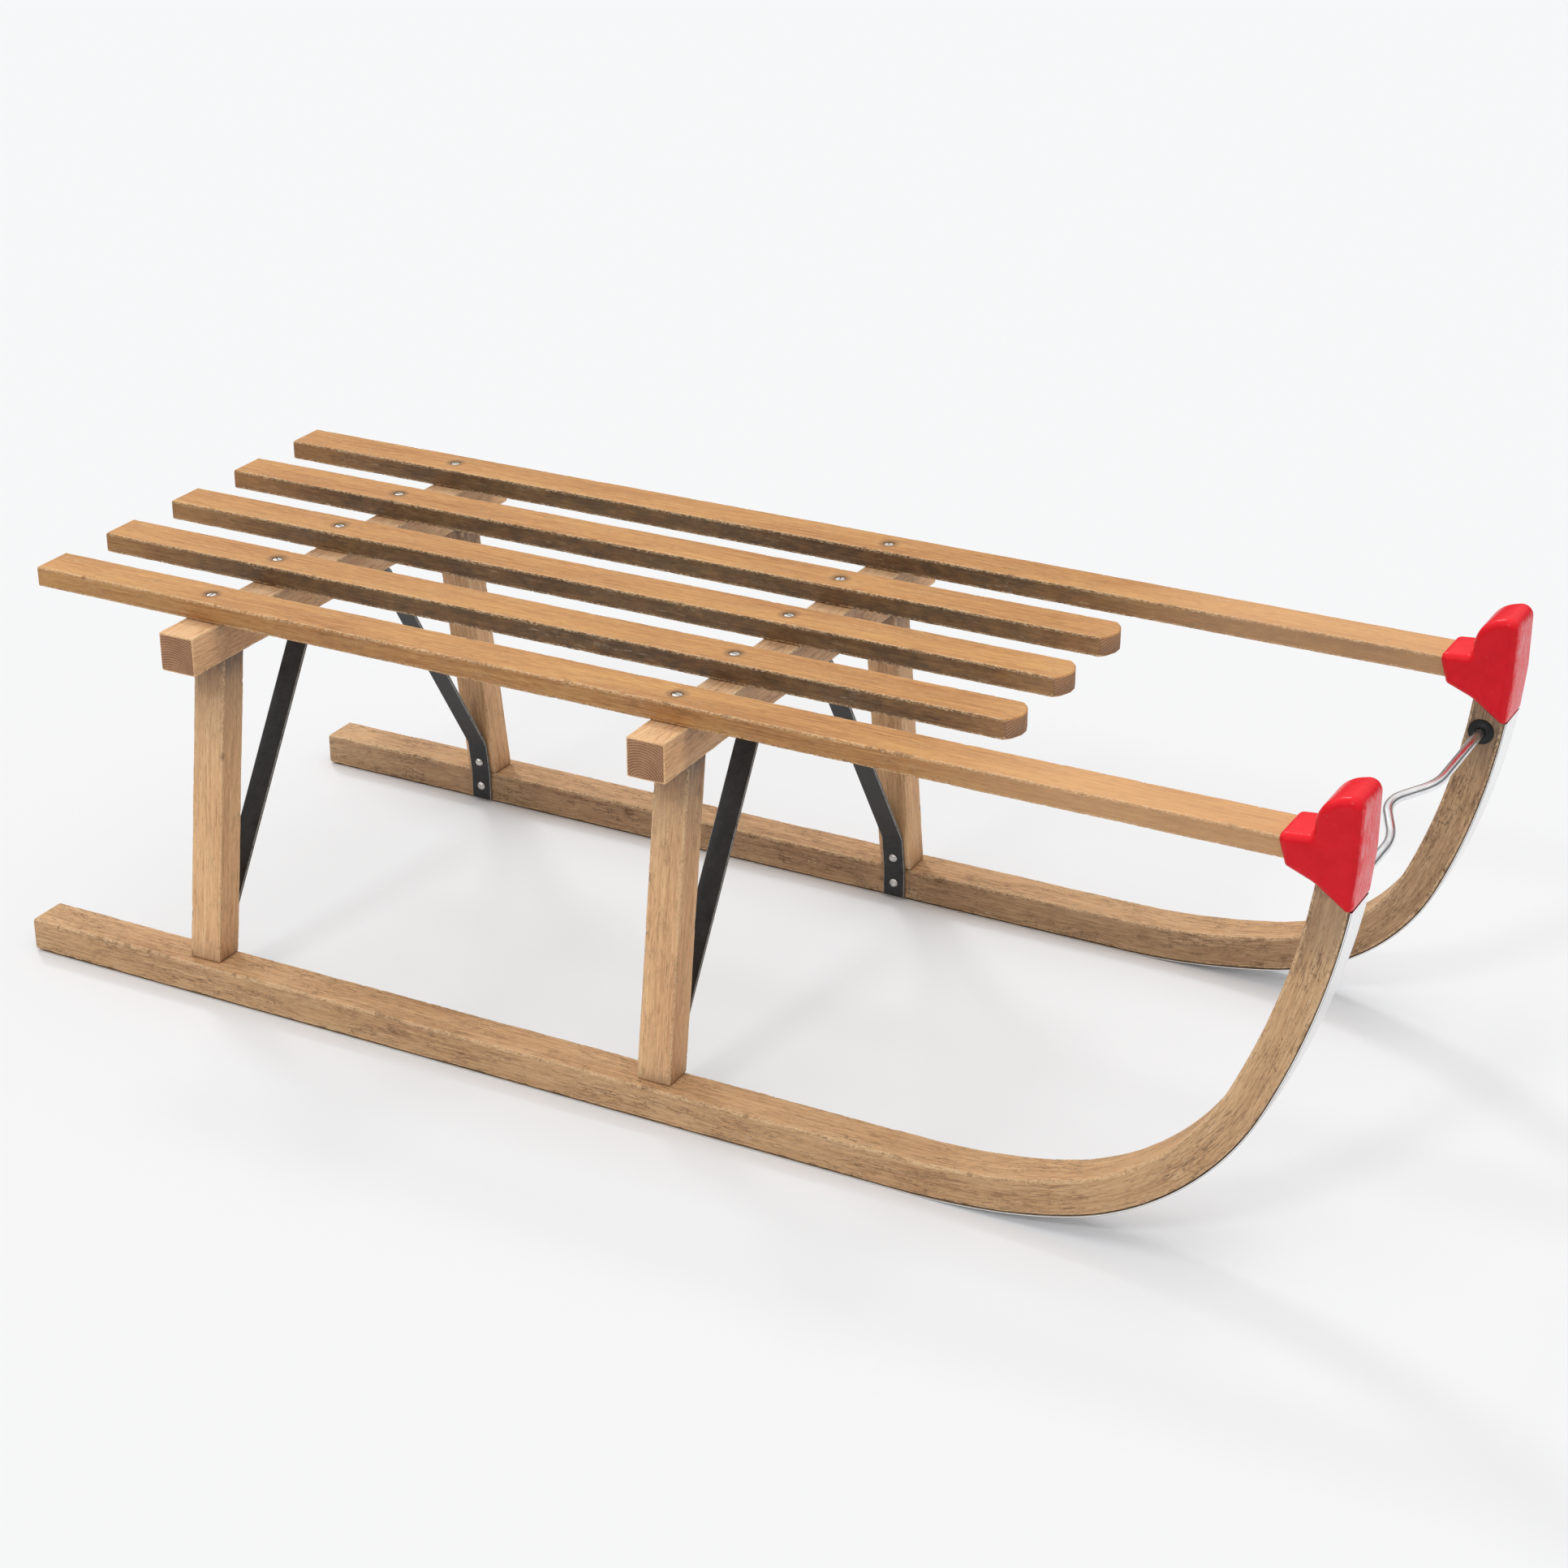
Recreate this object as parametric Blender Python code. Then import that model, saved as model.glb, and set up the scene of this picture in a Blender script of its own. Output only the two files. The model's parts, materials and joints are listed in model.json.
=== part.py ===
"""A child's wooden sled with bent runners.

Five slats lie on two crossbeams. Four splayed legs stand on two runners, whose fronts are steamed
and bent up into horns that lean in to meet the outer slats under a moulded bumper. A band iron
arch braces each pair of legs, steel shoes cover the runners, and a bent rod for the rope turns in
rubber bushes between the horns.

Lengths are in metres. +X is forward, +Y is left, +Z is up and the ground is z = 0. The pieces are
laid out from the line of the rear seat screws, and one empty moves them all so that the middle of
the sled's length is x = 0.
"""

import math

import bmesh
import bpy
from mathutils import Matrix, Vector

# Play left between two pieces where one rests on, or sits in, the other
SEAT_GAP = 0.0003

# Slats of the seat
SLAT_WIDTH = 0.0294
SLAT_THICKNESS = 0.0130
SLAT_PITCH = 0.0695
SLAT_REAR_REACH = 0.1280
SLAT_FRONT_REACH = 0.1830
SLAT_CROWN = 0.0084
SLAT_EDGE = 0.0011
OUTER_SLAT_SETBACK = 0.0015

# Crossbeams under the slats
BEAM_PITCH = 0.3369
BEAM_WIDTH = 0.0260
BEAM_HEIGHT = 0.0255
BEAM_LENGTH = 0.3600
BEAM_AHEAD = 0.0019
BEAM_EDGE = 0.0010

# Legs, whose depth is measured level across the sled
LEG_WIDTH = 0.0231
LEG_DEPTH = 0.0210
LEG_HEIGHT = 0.2036
LEG_TOP_SETBACK = 0.0441
LEG_EDGE = 0.0009
TENON_SHOULDER = 0.0045
TENON_WEB = 0.0040

# Runners and the bend of their fronts
RUNNER_TRACK = 0.3384
RUNNER_WIDTH = 0.0280
RUNNER_HEIGHT = 0.0220
RUNNER_EDGE = 0.0015
RUNNER_REAR_REACH = 0.1374
RUNNER_FLAT_REACH = 0.1708
RISE_RADIUS = 0.4280
RISE_LEAN = math.radians(13.5)
BEND_RADIUS = 0.1490
BEND_LEAN = math.radians(66.0)
HORN_RADIUS = 0.4640
TOE_START = 0.0560

# Steel shoes under the runners
SHOE_THICKNESS = 0.0010
SHOE_REAR_SETBACK = 0.0045
SHOE_TOP_DROP = 0.0215

# Band iron braces
BRACE_WIDTH = 0.0155
BRACE_THICKNESS = 0.0020
BRACE_FOOT_RISE = 0.0012
BRACE_LEG_RUN = 0.0240
BRACE_TOP_HALF = 0.0402
BRACE_FOOT_RADIUS = 0.0060
BRACE_KNEE_RADIUS = 0.0090
BRACE_TOP_RADIUS = 0.0160

# Pull bar and the bushes that it turns in
PULL_BAR_RADIUS = 0.0030
PULL_BAR_DROP = 0.0310
PULL_BAR_SETBACK = 0.0012
PULL_BAR_GRIP = 0.0110
NOTCH_DEPTH = 0.0148
NOTCH_LEAN = math.radians(23.5)
NOTCH_SHOULDER_RADIUS = 0.0600
NOTCH_APEX_RADIUS = 0.0340
NOTCH_TILT = math.radians(8.0)
BUSH_FLANGE_RADIUS = 0.0080
BUSH_FLANGE_THICKNESS = 0.0017
BUSH_FLANGE_SINK = 0.0005
BUSH_BODY_RADIUS = 0.0052
BUSH_DEPTH = 0.0125
BUSH_LIP = 0.0008

# Bumpers over the horns and the outer slats' ends
BUMPER_SIDE_WALL = 0.0028
BUMPER_TOP_WALL = 0.0022
BUMPER_FRONT_WALL = 0.0010
BUMPER_BOTTOM_WALL = 0.0033
BUMPER_EDGE = 0.0052
BUMPER_FRONT_LEAN = math.radians(5.2)
BUMPER_KNEE_RISE = 0.0050
BUMPER_KNEE_RADIUS = 0.0400
BUMPER_LENGTH = 0.0475
BUMPER_COLLAR_LEAN = math.radians(16.9)
BUMPER_COLLAR_SLOPE = math.radians(5.6)
BUMPER_FIN_LENGTH = 0.0270
BUMPER_FIN_HEIGHT = 0.0331
BUMPER_FIN_SLOPE = math.radians(15.0)
BUMPER_FIN_RADIUS = 0.0180
BUMPER_CHIN_LENGTH = 0.0246
BUMPER_CHIN_LEAN = math.radians(22.0)
BUMPER_CHIN_RADIUS = 0.0300
BUMPER_TIP_LEAN = math.radians(35.5)
BUMPER_NOSE_RADIUS = 0.0058
BUMPER_TIP_RADIUS = 0.0030
BUMPER_RIM_RADIUS = 0.0024

# Screws, each with a slotted head
SCREW_SLOT_WIDTH = 0.0009
SCREW_SLOT_DEPTH = 0.0008
SEAT_SCREW_HEAD_RADIUS = 0.0031
SEAT_SCREW_RADIUS = 0.0015
SEAT_SCREW_BITE = 0.0120
SEAT_SCREW_SINK = 0.0004
BRACE_SCREW_HEAD_RADIUS = 0.0031
BRACE_SCREW_HEAD_RISE = 0.0018
BRACE_SCREW_RADIUS = 0.0014
BRACE_SCREW_BITE = 0.0090
BRACE_SCREW_RISE = 0.0086
BRACE_TOP_SCREW_Y = 0.0240
SHOE_SCREW_HEAD_RADIUS = 0.0026
SHOE_SCREW_RADIUS = 0.0013
SHOE_SCREW_BITE = 0.0085
SHOE_SCREW_SINK = 0.0002
SHOE_SCREW_END = 0.0420
SHOE_SCREW_PITCH = 0.1950
SHOE_SCREW_COUNT = 4
SCREW_RIM = 0.0003
SCREW_SIDES = 12

# Greatest turn between two neighbouring cross-sections of a bent piece
BEND_STEP = math.radians(4.0)
HORN_STEP = math.radians(2.4)
FILLET_STEP = math.radians(18.0)

# Heights of the seats, built up from the ground
RUNNER_BOTTOM = SHOE_THICKNESS + SEAT_GAP
RUNNER_TOP = RUNNER_BOTTOM + RUNNER_HEIGHT
RUNNER_AXIS = RUNNER_BOTTOM + RUNNER_HEIGHT / 2
LEG_BOTTOM = RUNNER_TOP + SEAT_GAP
LEG_TOP = LEG_BOTTOM + LEG_HEIGHT
BEAM_BOTTOM = LEG_TOP + SEAT_GAP
BEAM_TOP = BEAM_BOTTOM + BEAM_HEIGHT
SLAT_BOTTOM = BEAM_TOP + SEAT_GAP
SLAT_TOP = SLAT_BOTTOM + SLAT_THICKNESS
HORN_TOP = SLAT_BOTTOM - SEAT_GAP

# Places across the sled
RUNNER_Y = RUNNER_TRACK / 2
RUNNER_INNER_Y = RUNNER_Y - RUNNER_WIDTH / 2
OUTER_SLAT_Y = 2 * SLAT_PITCH
LEG_BOTTOM_Y = RUNNER_INNER_Y + LEG_DEPTH / 2
LEG_TOP_Y = BEAM_LENGTH / 2 - LEG_TOP_SETBACK
LEG_SPLAY = math.atan2(LEG_BOTTOM_Y - LEG_TOP_Y, LEG_HEIGHT)


def linear(hex_colour):
    """Linear red, green and blue of an sRGB colour written as six hex digits."""
    channels = [int(hex_colour[k:k + 2], 16) / 255 for k in (0, 2, 4)]
    return [c / 12.92 if c <= 0.04045 else ((c + 0.055) / 1.055) ** 2.4 for c in channels]


def new_material(name, hex_colour, roughness, metallic):
    """A Principled material of one colour."""
    made = bpy.data.materials.new(name)
    made.use_nodes = True
    shader = made.node_tree.nodes["Principled BSDF"]
    colour = (*linear(hex_colour), 1.0)
    shader.inputs["Base Color"].default_value = colour
    shader.inputs["Roughness"].default_value = roughness
    shader.inputs["Metallic"].default_value = metallic
    made.diffuse_color = colour
    return made


def slat_wood():
    """Lacquered ash of the slats, the warmest wood."""
    return new_material("slat_wood", "DCA66E", 0.45, 0.0)


def frame_wood():
    """The same ash on the beams and legs, a little darker."""
    return new_material("frame_wood", "C79460", 0.50, 0.0)


def runner_wood():
    """Weathered ash of the runners."""
    return new_material("runner_wood", "B98F63", 0.60, 0.0)


def bumper_plastic():
    """Red moulded plastic."""
    return new_material("bumper_plastic", "D81F2E", 0.35, 0.0)


def black_iron():
    """Band iron with matt black paint."""
    return new_material("black_iron", "2D2D2E", 0.55, 0.2)


def shoe_steel():
    """Polished steel strip."""
    return new_material("shoe_steel", "C9C9C8", 0.28, 1.0)


def bar_chrome():
    """Chromed steel rod."""
    return new_material("bar_chrome", "DCDDDE", 0.12, 1.0)


def bush_rubber():
    """Black rubber."""
    return new_material("bush_rubber", "1E1E1F", 0.70, 0.0)


def screw_steel():
    """Bright zinc on the screws."""
    return new_material("screw_steel", "B4B3AF", 0.35, 1.0)


def add_piece(name, bm, material, parent):
    """A named object from a bmesh, shaded smooth except at its sharp edges."""
    bmesh.ops.recalc_face_normals(bm, faces=bm.faces)
    mesh = bpy.data.meshes.new(name)
    bm.to_mesh(mesh)
    bm.free()
    return add_object(name, mesh, material, parent)


def add_object(name, mesh, material, parent):
    """A named object of a mesh, which other objects may share."""
    piece = bpy.data.objects.new(name, mesh)
    bpy.context.scene.collection.objects.link(piece)
    piece.parent = parent
    if not mesh.materials:
        mesh.materials.append(material)
    mesh.shade_smooth()
    mesh.set_sharp_from_angle(angle=math.radians(32.0))
    return piece


def add_empty(name, location, parent=None):
    """An empty that places what is parented to it."""
    empty = bpy.data.objects.new(name, None)
    empty.empty_display_size = 0.05
    empty.location = location
    empty.parent = parent
    bpy.context.scene.collection.objects.link(empty)
    return empty


def cut(piece, name, bm, parent):
    """Take the shells of a bmesh out of a piece with an exact Boolean."""
    bmesh.ops.recalc_face_normals(bm, faces=bm.faces)
    mesh = bpy.data.meshes.new(name)
    bm.to_mesh(mesh)
    bm.free()
    cutter = bpy.data.objects.new(name, mesh)
    bpy.context.scene.collection.objects.link(cutter)
    cutter.parent = parent
    cutter.hide_render = True
    cutter.display_type = 'WIRE'
    boolean = piece.modifiers.new(name, 'BOOLEAN')
    boolean.operation = 'DIFFERENCE'
    boolean.solver = 'EXACT'
    boolean.object = cutter


def rounded_rectangle(half_u, half_v, radius, steps=2):
    """Corner points (u, v) of a rectangle with rounded corners, counter-clockwise."""
    points = []
    for corner, (sign_u, sign_v) in enumerate(((1, 1), (-1, 1), (-1, -1), (1, -1))):
        for step in range(steps + 1):
            angle = math.pi / 2 * (corner + step / steps)
            u = sign_u * (half_u - radius) + radius * math.cos(angle)
            v = sign_v * (half_v - radius) + radius * math.sin(angle)
            points.append((u, v))
    return points


def rectangle(half_u, half_v, middle_v=0.0):
    """Corner points (u, v) of a rectangle."""
    low, high = middle_v - half_v, middle_v + half_v
    return [(half_u, high), (-half_u, high), (-half_u, low), (half_u, low)]


def circle(radius, sides):
    """Corner points (u, v) of a regular polygon on a circle."""
    turns = [2 * math.pi * side / sides for side in range(sides)]
    return [(radius * math.cos(turn), radius * math.sin(turn)) for turn in turns]


def bridge_rings(bm, rings, closed=False):
    """Join rings of vertices into a skin, with a flat cap on each end of an open one."""
    sides = len(rings[0])
    spans = len(rings) if closed else len(rings) - 1
    for span in range(spans):
        first, second = rings[span], rings[(span + 1) % len(rings)]
        for side in range(sides):
            after = (side + 1) % sides
            bm.faces.new((first[side], first[after], second[after], second[side]))
    if not closed:
        bm.faces.new(rings[0][::-1])
        bm.faces.new(rings[-1])


def sweep(bm, section, stations, level_top=None):
    """Carry a section (u, v) along stations (origin, u direction, v direction)."""
    rings = []
    for origin, along_u, along_v in stations:
        rings.append([bm.verts.new(origin + along_u * u + along_v * v) for u, v in section])
    if level_top is not None:
        rise = stations[-1][0] - stations[-2][0]
        for vert in rings[-1]:
            vert.co += rise * ((level_top - vert.co.z) / rise.z)
    bridge_rings(bm, rings)
    return rings


def turn_profile(bm, profile, place, sides):
    """Turn a profile (radius, height) round Z; it starts and ends on the axis."""
    top = bm.verts.new(place @ Vector((0, 0, profile[0][1])))
    bottom = bm.verts.new(place @ Vector((0, 0, profile[-1][1])))
    rings = []
    for radius, height in profile[1:-1]:
        points = [place @ Vector((x, y, height)) for x, y in circle(radius, sides)]
        rings.append([bm.verts.new(point) for point in points])
    for first, second in zip(rings, rings[1:]):
        for side in range(sides):
            after = (side + 1) % sides
            bm.faces.new((first[side], second[side], second[after], first[after]))
    for side in range(sides):
        after = (side + 1) % sides
        bm.faces.new((top, rings[0][side], rings[0][after]))
        bm.faces.new((bottom, rings[-1][after], rings[-1][side]))


def add_block(bm, low, high):
    """A plain block between two opposite corners; returns its vertices."""
    middle = [(a + b) / 2 for a, b in zip(low, high)]
    size = [b - a for a, b in zip(low, high)]
    place = Matrix.Translation(middle) @ Matrix.Diagonal((*size, 1.0))
    return bmesh.ops.create_cube(bm, size=1.0, matrix=place)["verts"]


def soften(bm, width, segments=2):
    """Round every edge where two faces meet at more than 40 degrees."""
    sharp = [edge for edge in bm.edges if edge.calc_face_angle(0.0) > math.radians(40.0)]
    bmesh.ops.bevel(
        bm,
        geom=sharp,
        offset=width,
        segments=segments,
        profile=0.5,
        affect='EDGES',
        clamp_overlap=True,
    )


def rounded_path(corners, radii):
    """Points and directions along a flat path whose inner corners are arcs of the given radii."""
    points = [Vector(corner) for corner in corners]
    path = [(points[0], (points[1] - points[0]).normalized())]
    for before, corner, after, radius in zip(points, points[1:], points[2:], radii):
        going_in = (corner - before).normalized()
        going_out = (after - corner).normalized()
        turn = going_in.angle_signed(going_out)
        reach = radius * math.tan(abs(turn) / 2)
        start = corner - going_in * reach
        side = -1.0 if turn > 0 else 1.0
        normal = Vector((-going_in.y, going_in.x)) * side
        centre = start + normal * radius
        steps = max(1, math.ceil(abs(turn) / BEND_STEP / 1.5))
        for step in range(steps + 1):
            swing = Matrix.Rotation(-turn * step / steps, 2)
            path.append((centre + swing @ (start - centre), swing @ going_in))
    path.append((points[-1], (points[-1] - points[-2]).normalized()))
    return path


def closed_outline(corners, inset):
    """A counter-clockwise outline with filleted corners (x, z, radius), drawn in by an inset."""
    outline = []
    count = len(corners)
    for k, (x, z, radius) in enumerate(corners):
        corner = Vector((x, z))
        going_in = (corner - Vector(corners[k - 1][:2])).normalized()
        going_out = (Vector(corners[(k + 1) % count][:2]) - corner).normalized()
        inward = Vector((-going_in.y, going_in.x))
        inward_out = Vector((-going_out.y, going_out.x))
        drawn = corner + (inward + inward_out) * (inset / (1 + inward.dot(inward_out)))
        turn = -going_in.angle_signed(going_out)
        side = 1.0 if turn > 0 else -1.0
        bend = max(radius - side * inset, BUMPER_EDGE / 12)
        start = drawn - going_in * (bend * math.tan(abs(turn) / 2))
        centre = start + inward * (side * bend)
        steps = max(1, math.ceil(abs(turn) / FILLET_STEP))
        for step in range(steps + 1):
            swing = Matrix.Rotation(turn * step / steps, 2)
            outline.append(centre + swing @ (start - centre))
    return outline


# The runner's bend: a slow rise, a tight bend and a long, nearly upright horn


def bend_arcs():
    """The three arcs, each (centre x, centre z, radius, lean at its start, lean at its end)."""
    x, z, lean = BEAM_PITCH + RUNNER_FLAT_REACH, RUNNER_AXIS, 0.0
    arcs = []
    for radius, last_lean in ((RISE_RADIUS, RISE_LEAN), (BEND_RADIUS, BEND_LEAN), (HORN_RADIUS, None)):
        centre_x = x - radius * math.sin(lean)
        centre_z = z + radius * math.cos(lean)
        if last_lean is None:
            last_lean = math.acos((centre_z - HORN_TOP) / radius)
        arcs.append((centre_x, centre_z, radius, lean, last_lean))
        x = centre_x + radius * math.sin(last_lean)
        z = centre_z - radius * math.cos(last_lean)
        lean = last_lean
    return arcs


def toe_in(run, whole_run):
    """How far the runner has moved in towards the outer slat, easing in and out along its run."""
    share = min(max((run - TOE_START) / (whole_run - TOE_START), 0.0), 1.0)
    return (RUNNER_Y - OUTER_SLAT_Y) * share * share * (3 - 2 * share)


def runner_line():
    """Stations (x, y, z, lean) of a runner's centre line, from its rear end to the horn's top."""
    arcs = bend_arcs()
    whole_run = sum(radius * (end - start) for _, _, radius, start, end in arcs)
    line = [(-RUNNER_REAR_REACH, RUNNER_Y, RUNNER_AXIS, 0.0)]
    line.append((BEAM_PITCH + RUNNER_FLAT_REACH, RUNNER_Y, RUNNER_AXIS, 0.0))
    run = 0.0
    for centre_x, centre_z, radius, start, end in arcs:
        step_size = HORN_STEP if radius == HORN_RADIUS else BEND_STEP
        steps = max(2, math.ceil((end - start) / step_size))
        for step in range(1, steps + 1):
            lean = start + (end - start) * step / steps
            x = centre_x + radius * math.sin(lean)
            z = centre_z - radius * math.cos(lean)
            y = RUNNER_Y - toe_in(run + radius * (lean - start), whole_run)
            line.append((x, y, z, lean))
        run += radius * (end - start)
    return line


def between(first, second, share):
    """A station part of the way from one station to the next."""
    return tuple(a + (b - a) * share for a, b in zip(first, second))


def line_from_x(line, x):
    """The line with its rear cut back to a given x on its straight part."""
    first, second = line[0], line[1]
    return [between(first, second, (x - first[0]) / (second[0] - first[0]))] + line[1:]


def line_in_heights(line, low, high):
    """The stretch of the horn between two heights."""
    stretch = []
    for first, second in zip(line, line[1:]):
        rise = second[2] - first[2]
        if rise <= 0 or second[2] < low or first[2] > high:
            continue
        if not stretch:
            stretch.append(between(first, second, max((low - first[2]) / rise, 0.0)))
        stretch.append(between(first, second, min((high - first[2]) / rise, 1.0)))
    return stretch


def horn_at(height):
    """The horn's centre (x, y) at a height."""
    stretch = line_in_heights(runner_line(), height, HORN_TOP)
    return stretch[0][0], stretch[0][1]


def horn_front():
    """x of the horn's front face at its top."""
    x, _, _, lean = runner_line()[-1]
    return x + RUNNER_HEIGHT / 2 / math.sin(lean)


def runner_stations(line, side):
    """Sweep stations along a runner: u runs out across it and v out of its upper face."""
    stations = []
    for x, y, z, lean in line:
        up = Vector((-math.sin(lean), 0.0, math.cos(lean)))
        stations.append((Vector((x, side * y, z)), Vector((0.0, side, 0.0)), up))
    return stations


# Screws and the holes that they sit in


def countersunk(head_radius, radius, length, grow=0.0, above=0.0):
    """Profile of a countersunk screw from its head's face down, or of its hole."""
    cone = SCREW_RIM + head_radius - radius
    return [
        (0.0, above),
        (head_radius + grow, above),
        (head_radius + grow, -SCREW_RIM - grow),
        (radius + grow, -cone - grow),
        (radius + grow, -length + 2 * radius),
        (0.0, -length - grow),
    ]


def domed(head_radius, rise, radius, length):
    """Profile of a round-headed screw, its head above z = 0 and its shank below."""
    ball = (head_radius ** 2 + rise ** 2) / (2 * rise)
    swing = math.asin(head_radius / ball)
    dome = []
    for share in (0.0, 0.4, 0.75, 1.0):
        height = ball * math.cos(swing * share) - ball + rise
        dome.append((ball * math.sin(swing * share), height))
    return dome + [(radius, 0.0), (radius, -length + 2 * radius), (0.0, -length)]


def straight_hole(radius, length, above):
    """Profile of a plain blind hole."""
    return [(0.0, above), (radius, above), (radius, -length), (0.0, -length)]


def slotted_mesh(name, profile, head_radius, material):
    """The mesh of a screw with its slot already cut, for all the screws of its kind."""
    bm = bmesh.new()
    turn_profile(bm, profile, Matrix.Identity(4), SCREW_SIDES)
    screw = add_piece(name + "_blank", bm, material, None)
    top = profile[0][1]
    slot = bmesh.new()
    reach = 2 * head_radius
    half = SCREW_SLOT_WIDTH / 2
    add_block(slot, (-reach, -half, top - SCREW_SLOT_DEPTH), (reach, half, top + reach))
    cut(screw, name + "_slot", slot, None)
    cutter = screw.modifiers[0].object
    graph = bpy.context.evaluated_depsgraph_get()
    mesh = bpy.data.meshes.new_from_object(screw.evaluated_get(graph))
    mesh.name = name
    bpy.data.objects.remove(screw, do_unlink=True)
    bpy.data.objects.remove(cutter, do_unlink=True)
    return mesh


def add_screw(name, mesh, material, place, turn, parent):
    """One screw of a kind, with its slot turned by an angle."""
    screw = add_object(name, mesh, material, parent)
    screw.matrix_local = place @ Matrix.Rotation(turn, 4, 'Z')
    return screw


# Where each screw goes: its frame has the head's face at z = 0 and the shank along -Z


def frame_towards(origin, outward):
    """A frame at a point whose Z axis is a given direction."""
    turn = Vector((0, 0, 1)).rotation_difference(Vector(outward)).to_matrix().to_4x4()
    return Matrix.Translation(origin) @ turn


def seat_screw_places(slat_y):
    """The two screws down through one slat."""
    top = SLAT_TOP - SEAT_SCREW_SINK
    return [frame_towards((x, slat_y, top), (0, 0, 1)) for x in (0.0, BEAM_PITCH)]


def leg_inner_face(height):
    """y of the legs' inner face at a height."""
    return RUNNER_INNER_Y - (height - LEG_BOTTOM) * math.tan(LEG_SPLAY)


def foot_screw_places(x, side):
    """The two screws at one foot of a brace: into the runner, and square into the leg."""
    stack = SEAT_GAP + BRACE_THICKNESS + SEAT_GAP
    low = Vector((x, side * (RUNNER_INNER_Y - stack), RUNNER_AXIS))
    height = LEG_BOTTOM + BRACE_SCREW_RISE
    square = Vector((0.0, -side * math.cos(LEG_SPLAY), -math.sin(LEG_SPLAY)))
    high = Vector((x, side * leg_inner_face(height), height)) + square * stack
    return [frame_towards(low, (0, -side, 0)), frame_towards(high, square)]


def top_screw_places(x):
    """The two screws up through a brace's flat top into the crossbeam."""
    z = BEAM_BOTTOM - 2 * SEAT_GAP - BRACE_THICKNESS
    return [frame_towards((x, y, z), (0, 0, -1)) for y in (-BRACE_TOP_SCREW_Y, BRACE_TOP_SCREW_Y)]


def shoe_screw_places(side):
    """The screws up through one shoe into the runner."""
    first = -RUNNER_REAR_REACH + SHOE_SCREW_END
    places = []
    for k in range(SHOE_SCREW_COUNT):
        point = (first + k * SHOE_SCREW_PITCH, side * RUNNER_Y, SHOE_SCREW_SINK)
        places.append(frame_towards(point, (0, 0, -1)))
    return places


def seat_screw_length():
    """From the sunk head to the screw's tip in the crossbeam."""
    return SLAT_THICKNESS - SEAT_SCREW_SINK + SEAT_GAP + SEAT_SCREW_BITE


def brace_screw_length():
    """From under the domed head, through the band, to the screw's tip in the wood."""
    return 2 * SEAT_GAP + BRACE_THICKNESS + BRACE_SCREW_BITE


def shoe_screw_length():
    """From the sunk head to the screw's tip in the runner."""
    return SHOE_THICKNESS - SHOE_SCREW_SINK + SEAT_GAP + SHOE_SCREW_BITE


def seat_screw_hole():
    """Countersunk hole down through a slat and into the crossbeam."""
    length = seat_screw_length()
    return countersunk(SEAT_SCREW_HEAD_RADIUS, SEAT_SCREW_RADIUS, length, SEAT_GAP, 0.004)


def brace_screw_hole():
    """Hole through the band and into the wood behind it."""
    return straight_hole(BRACE_SCREW_RADIUS + SEAT_GAP, brace_screw_length() + SEAT_GAP, 0.0002)


def shoe_screw_hole():
    """Countersunk hole through the shoe and into the runner."""
    length = shoe_screw_length()
    return countersunk(SHOE_SCREW_HEAD_RADIUS, SHOE_SCREW_RADIUS, length, SEAT_GAP, 0.002)


def hole_shells(bm, profile, places):
    """Add a turned shell for each hole."""
    for place in places:
        turn_profile(bm, profile, place, SCREW_SIDES)


# Wooden pieces


def slat_outline(front, crown):
    """Outline (x, y) of a slat, square at the rear and square or crowned at the front."""
    rear, half = -SLAT_REAR_REACH, SLAT_WIDTH / 2
    outline = [(rear, -half)]
    if crown > 0.0:
        radius = (half ** 2 + crown ** 2) / (2 * crown)
        swing = math.asin(half / radius)
        steps = 10
        for step in range(steps + 1):
            angle = swing * (2 * step / steps - 1)
            x = front + crown - radius + radius * math.cos(angle)
            outline.append((x, radius * math.sin(angle)))
    else:
        outline += [(front, -half), (front, half)]
    outline.append((rear, half))
    return outline


def add_slat(name, slat_y, front, crown, material, parent):
    """One slat with its screw holes."""
    bm = bmesh.new()
    outline = slat_outline(front, crown)
    rings = []
    for z in (SLAT_BOTTOM, SLAT_TOP):
        rings.append([bm.verts.new((x, y, z)) for x, y in outline])
    bridge_rings(bm, rings)
    soften(bm, SLAT_EDGE)
    slat = add_piece(name, bm, material, parent)
    slat.location.y = slat_y
    holes = bmesh.new()
    hole_shells(holes, seat_screw_hole(), seat_screw_places(slat_y))
    cut(slat, name + "_holes", holes, parent)
    return slat


def sheared_block(bm, x, side, half_x, half_y, low, high):
    """A block along a leg's slant, between two heights; returns its vertices."""
    lean = side * math.tan(LEG_SPLAY)
    middle_y = side * LEG_BOTTOM_Y
    verts = add_block(bm, (x - half_x, middle_y - half_y, low), (x + half_x, middle_y + half_y, high))
    for vert in verts:
        vert.co.y -= (vert.co.z - LEG_BOTTOM) * lean
    return verts


def upper_tenon():
    """Length of the tenon in the crossbeam, which stays clear of the seat screw above it."""
    return BEAM_HEIGHT - SEAT_SCREW_BITE - TENON_WEB


def lower_tenon():
    """Length of the tenon in the runner, which stays clear of the brace's screw below it."""
    return RUNNER_HEIGHT / 2 - BRACE_SCREW_RADIUS - TENON_WEB


def tenon_shell(bm, x, side, low, high, grow):
    """A tenon along the leg's slant, or its mortise when grown by the play."""
    half_x = LEG_WIDTH / 2 - TENON_SHOULDER + grow
    half_y = LEG_DEPTH / 2 - TENON_SHOULDER + grow
    sheared_block(bm, x, side, half_x, half_y, low, high)


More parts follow.
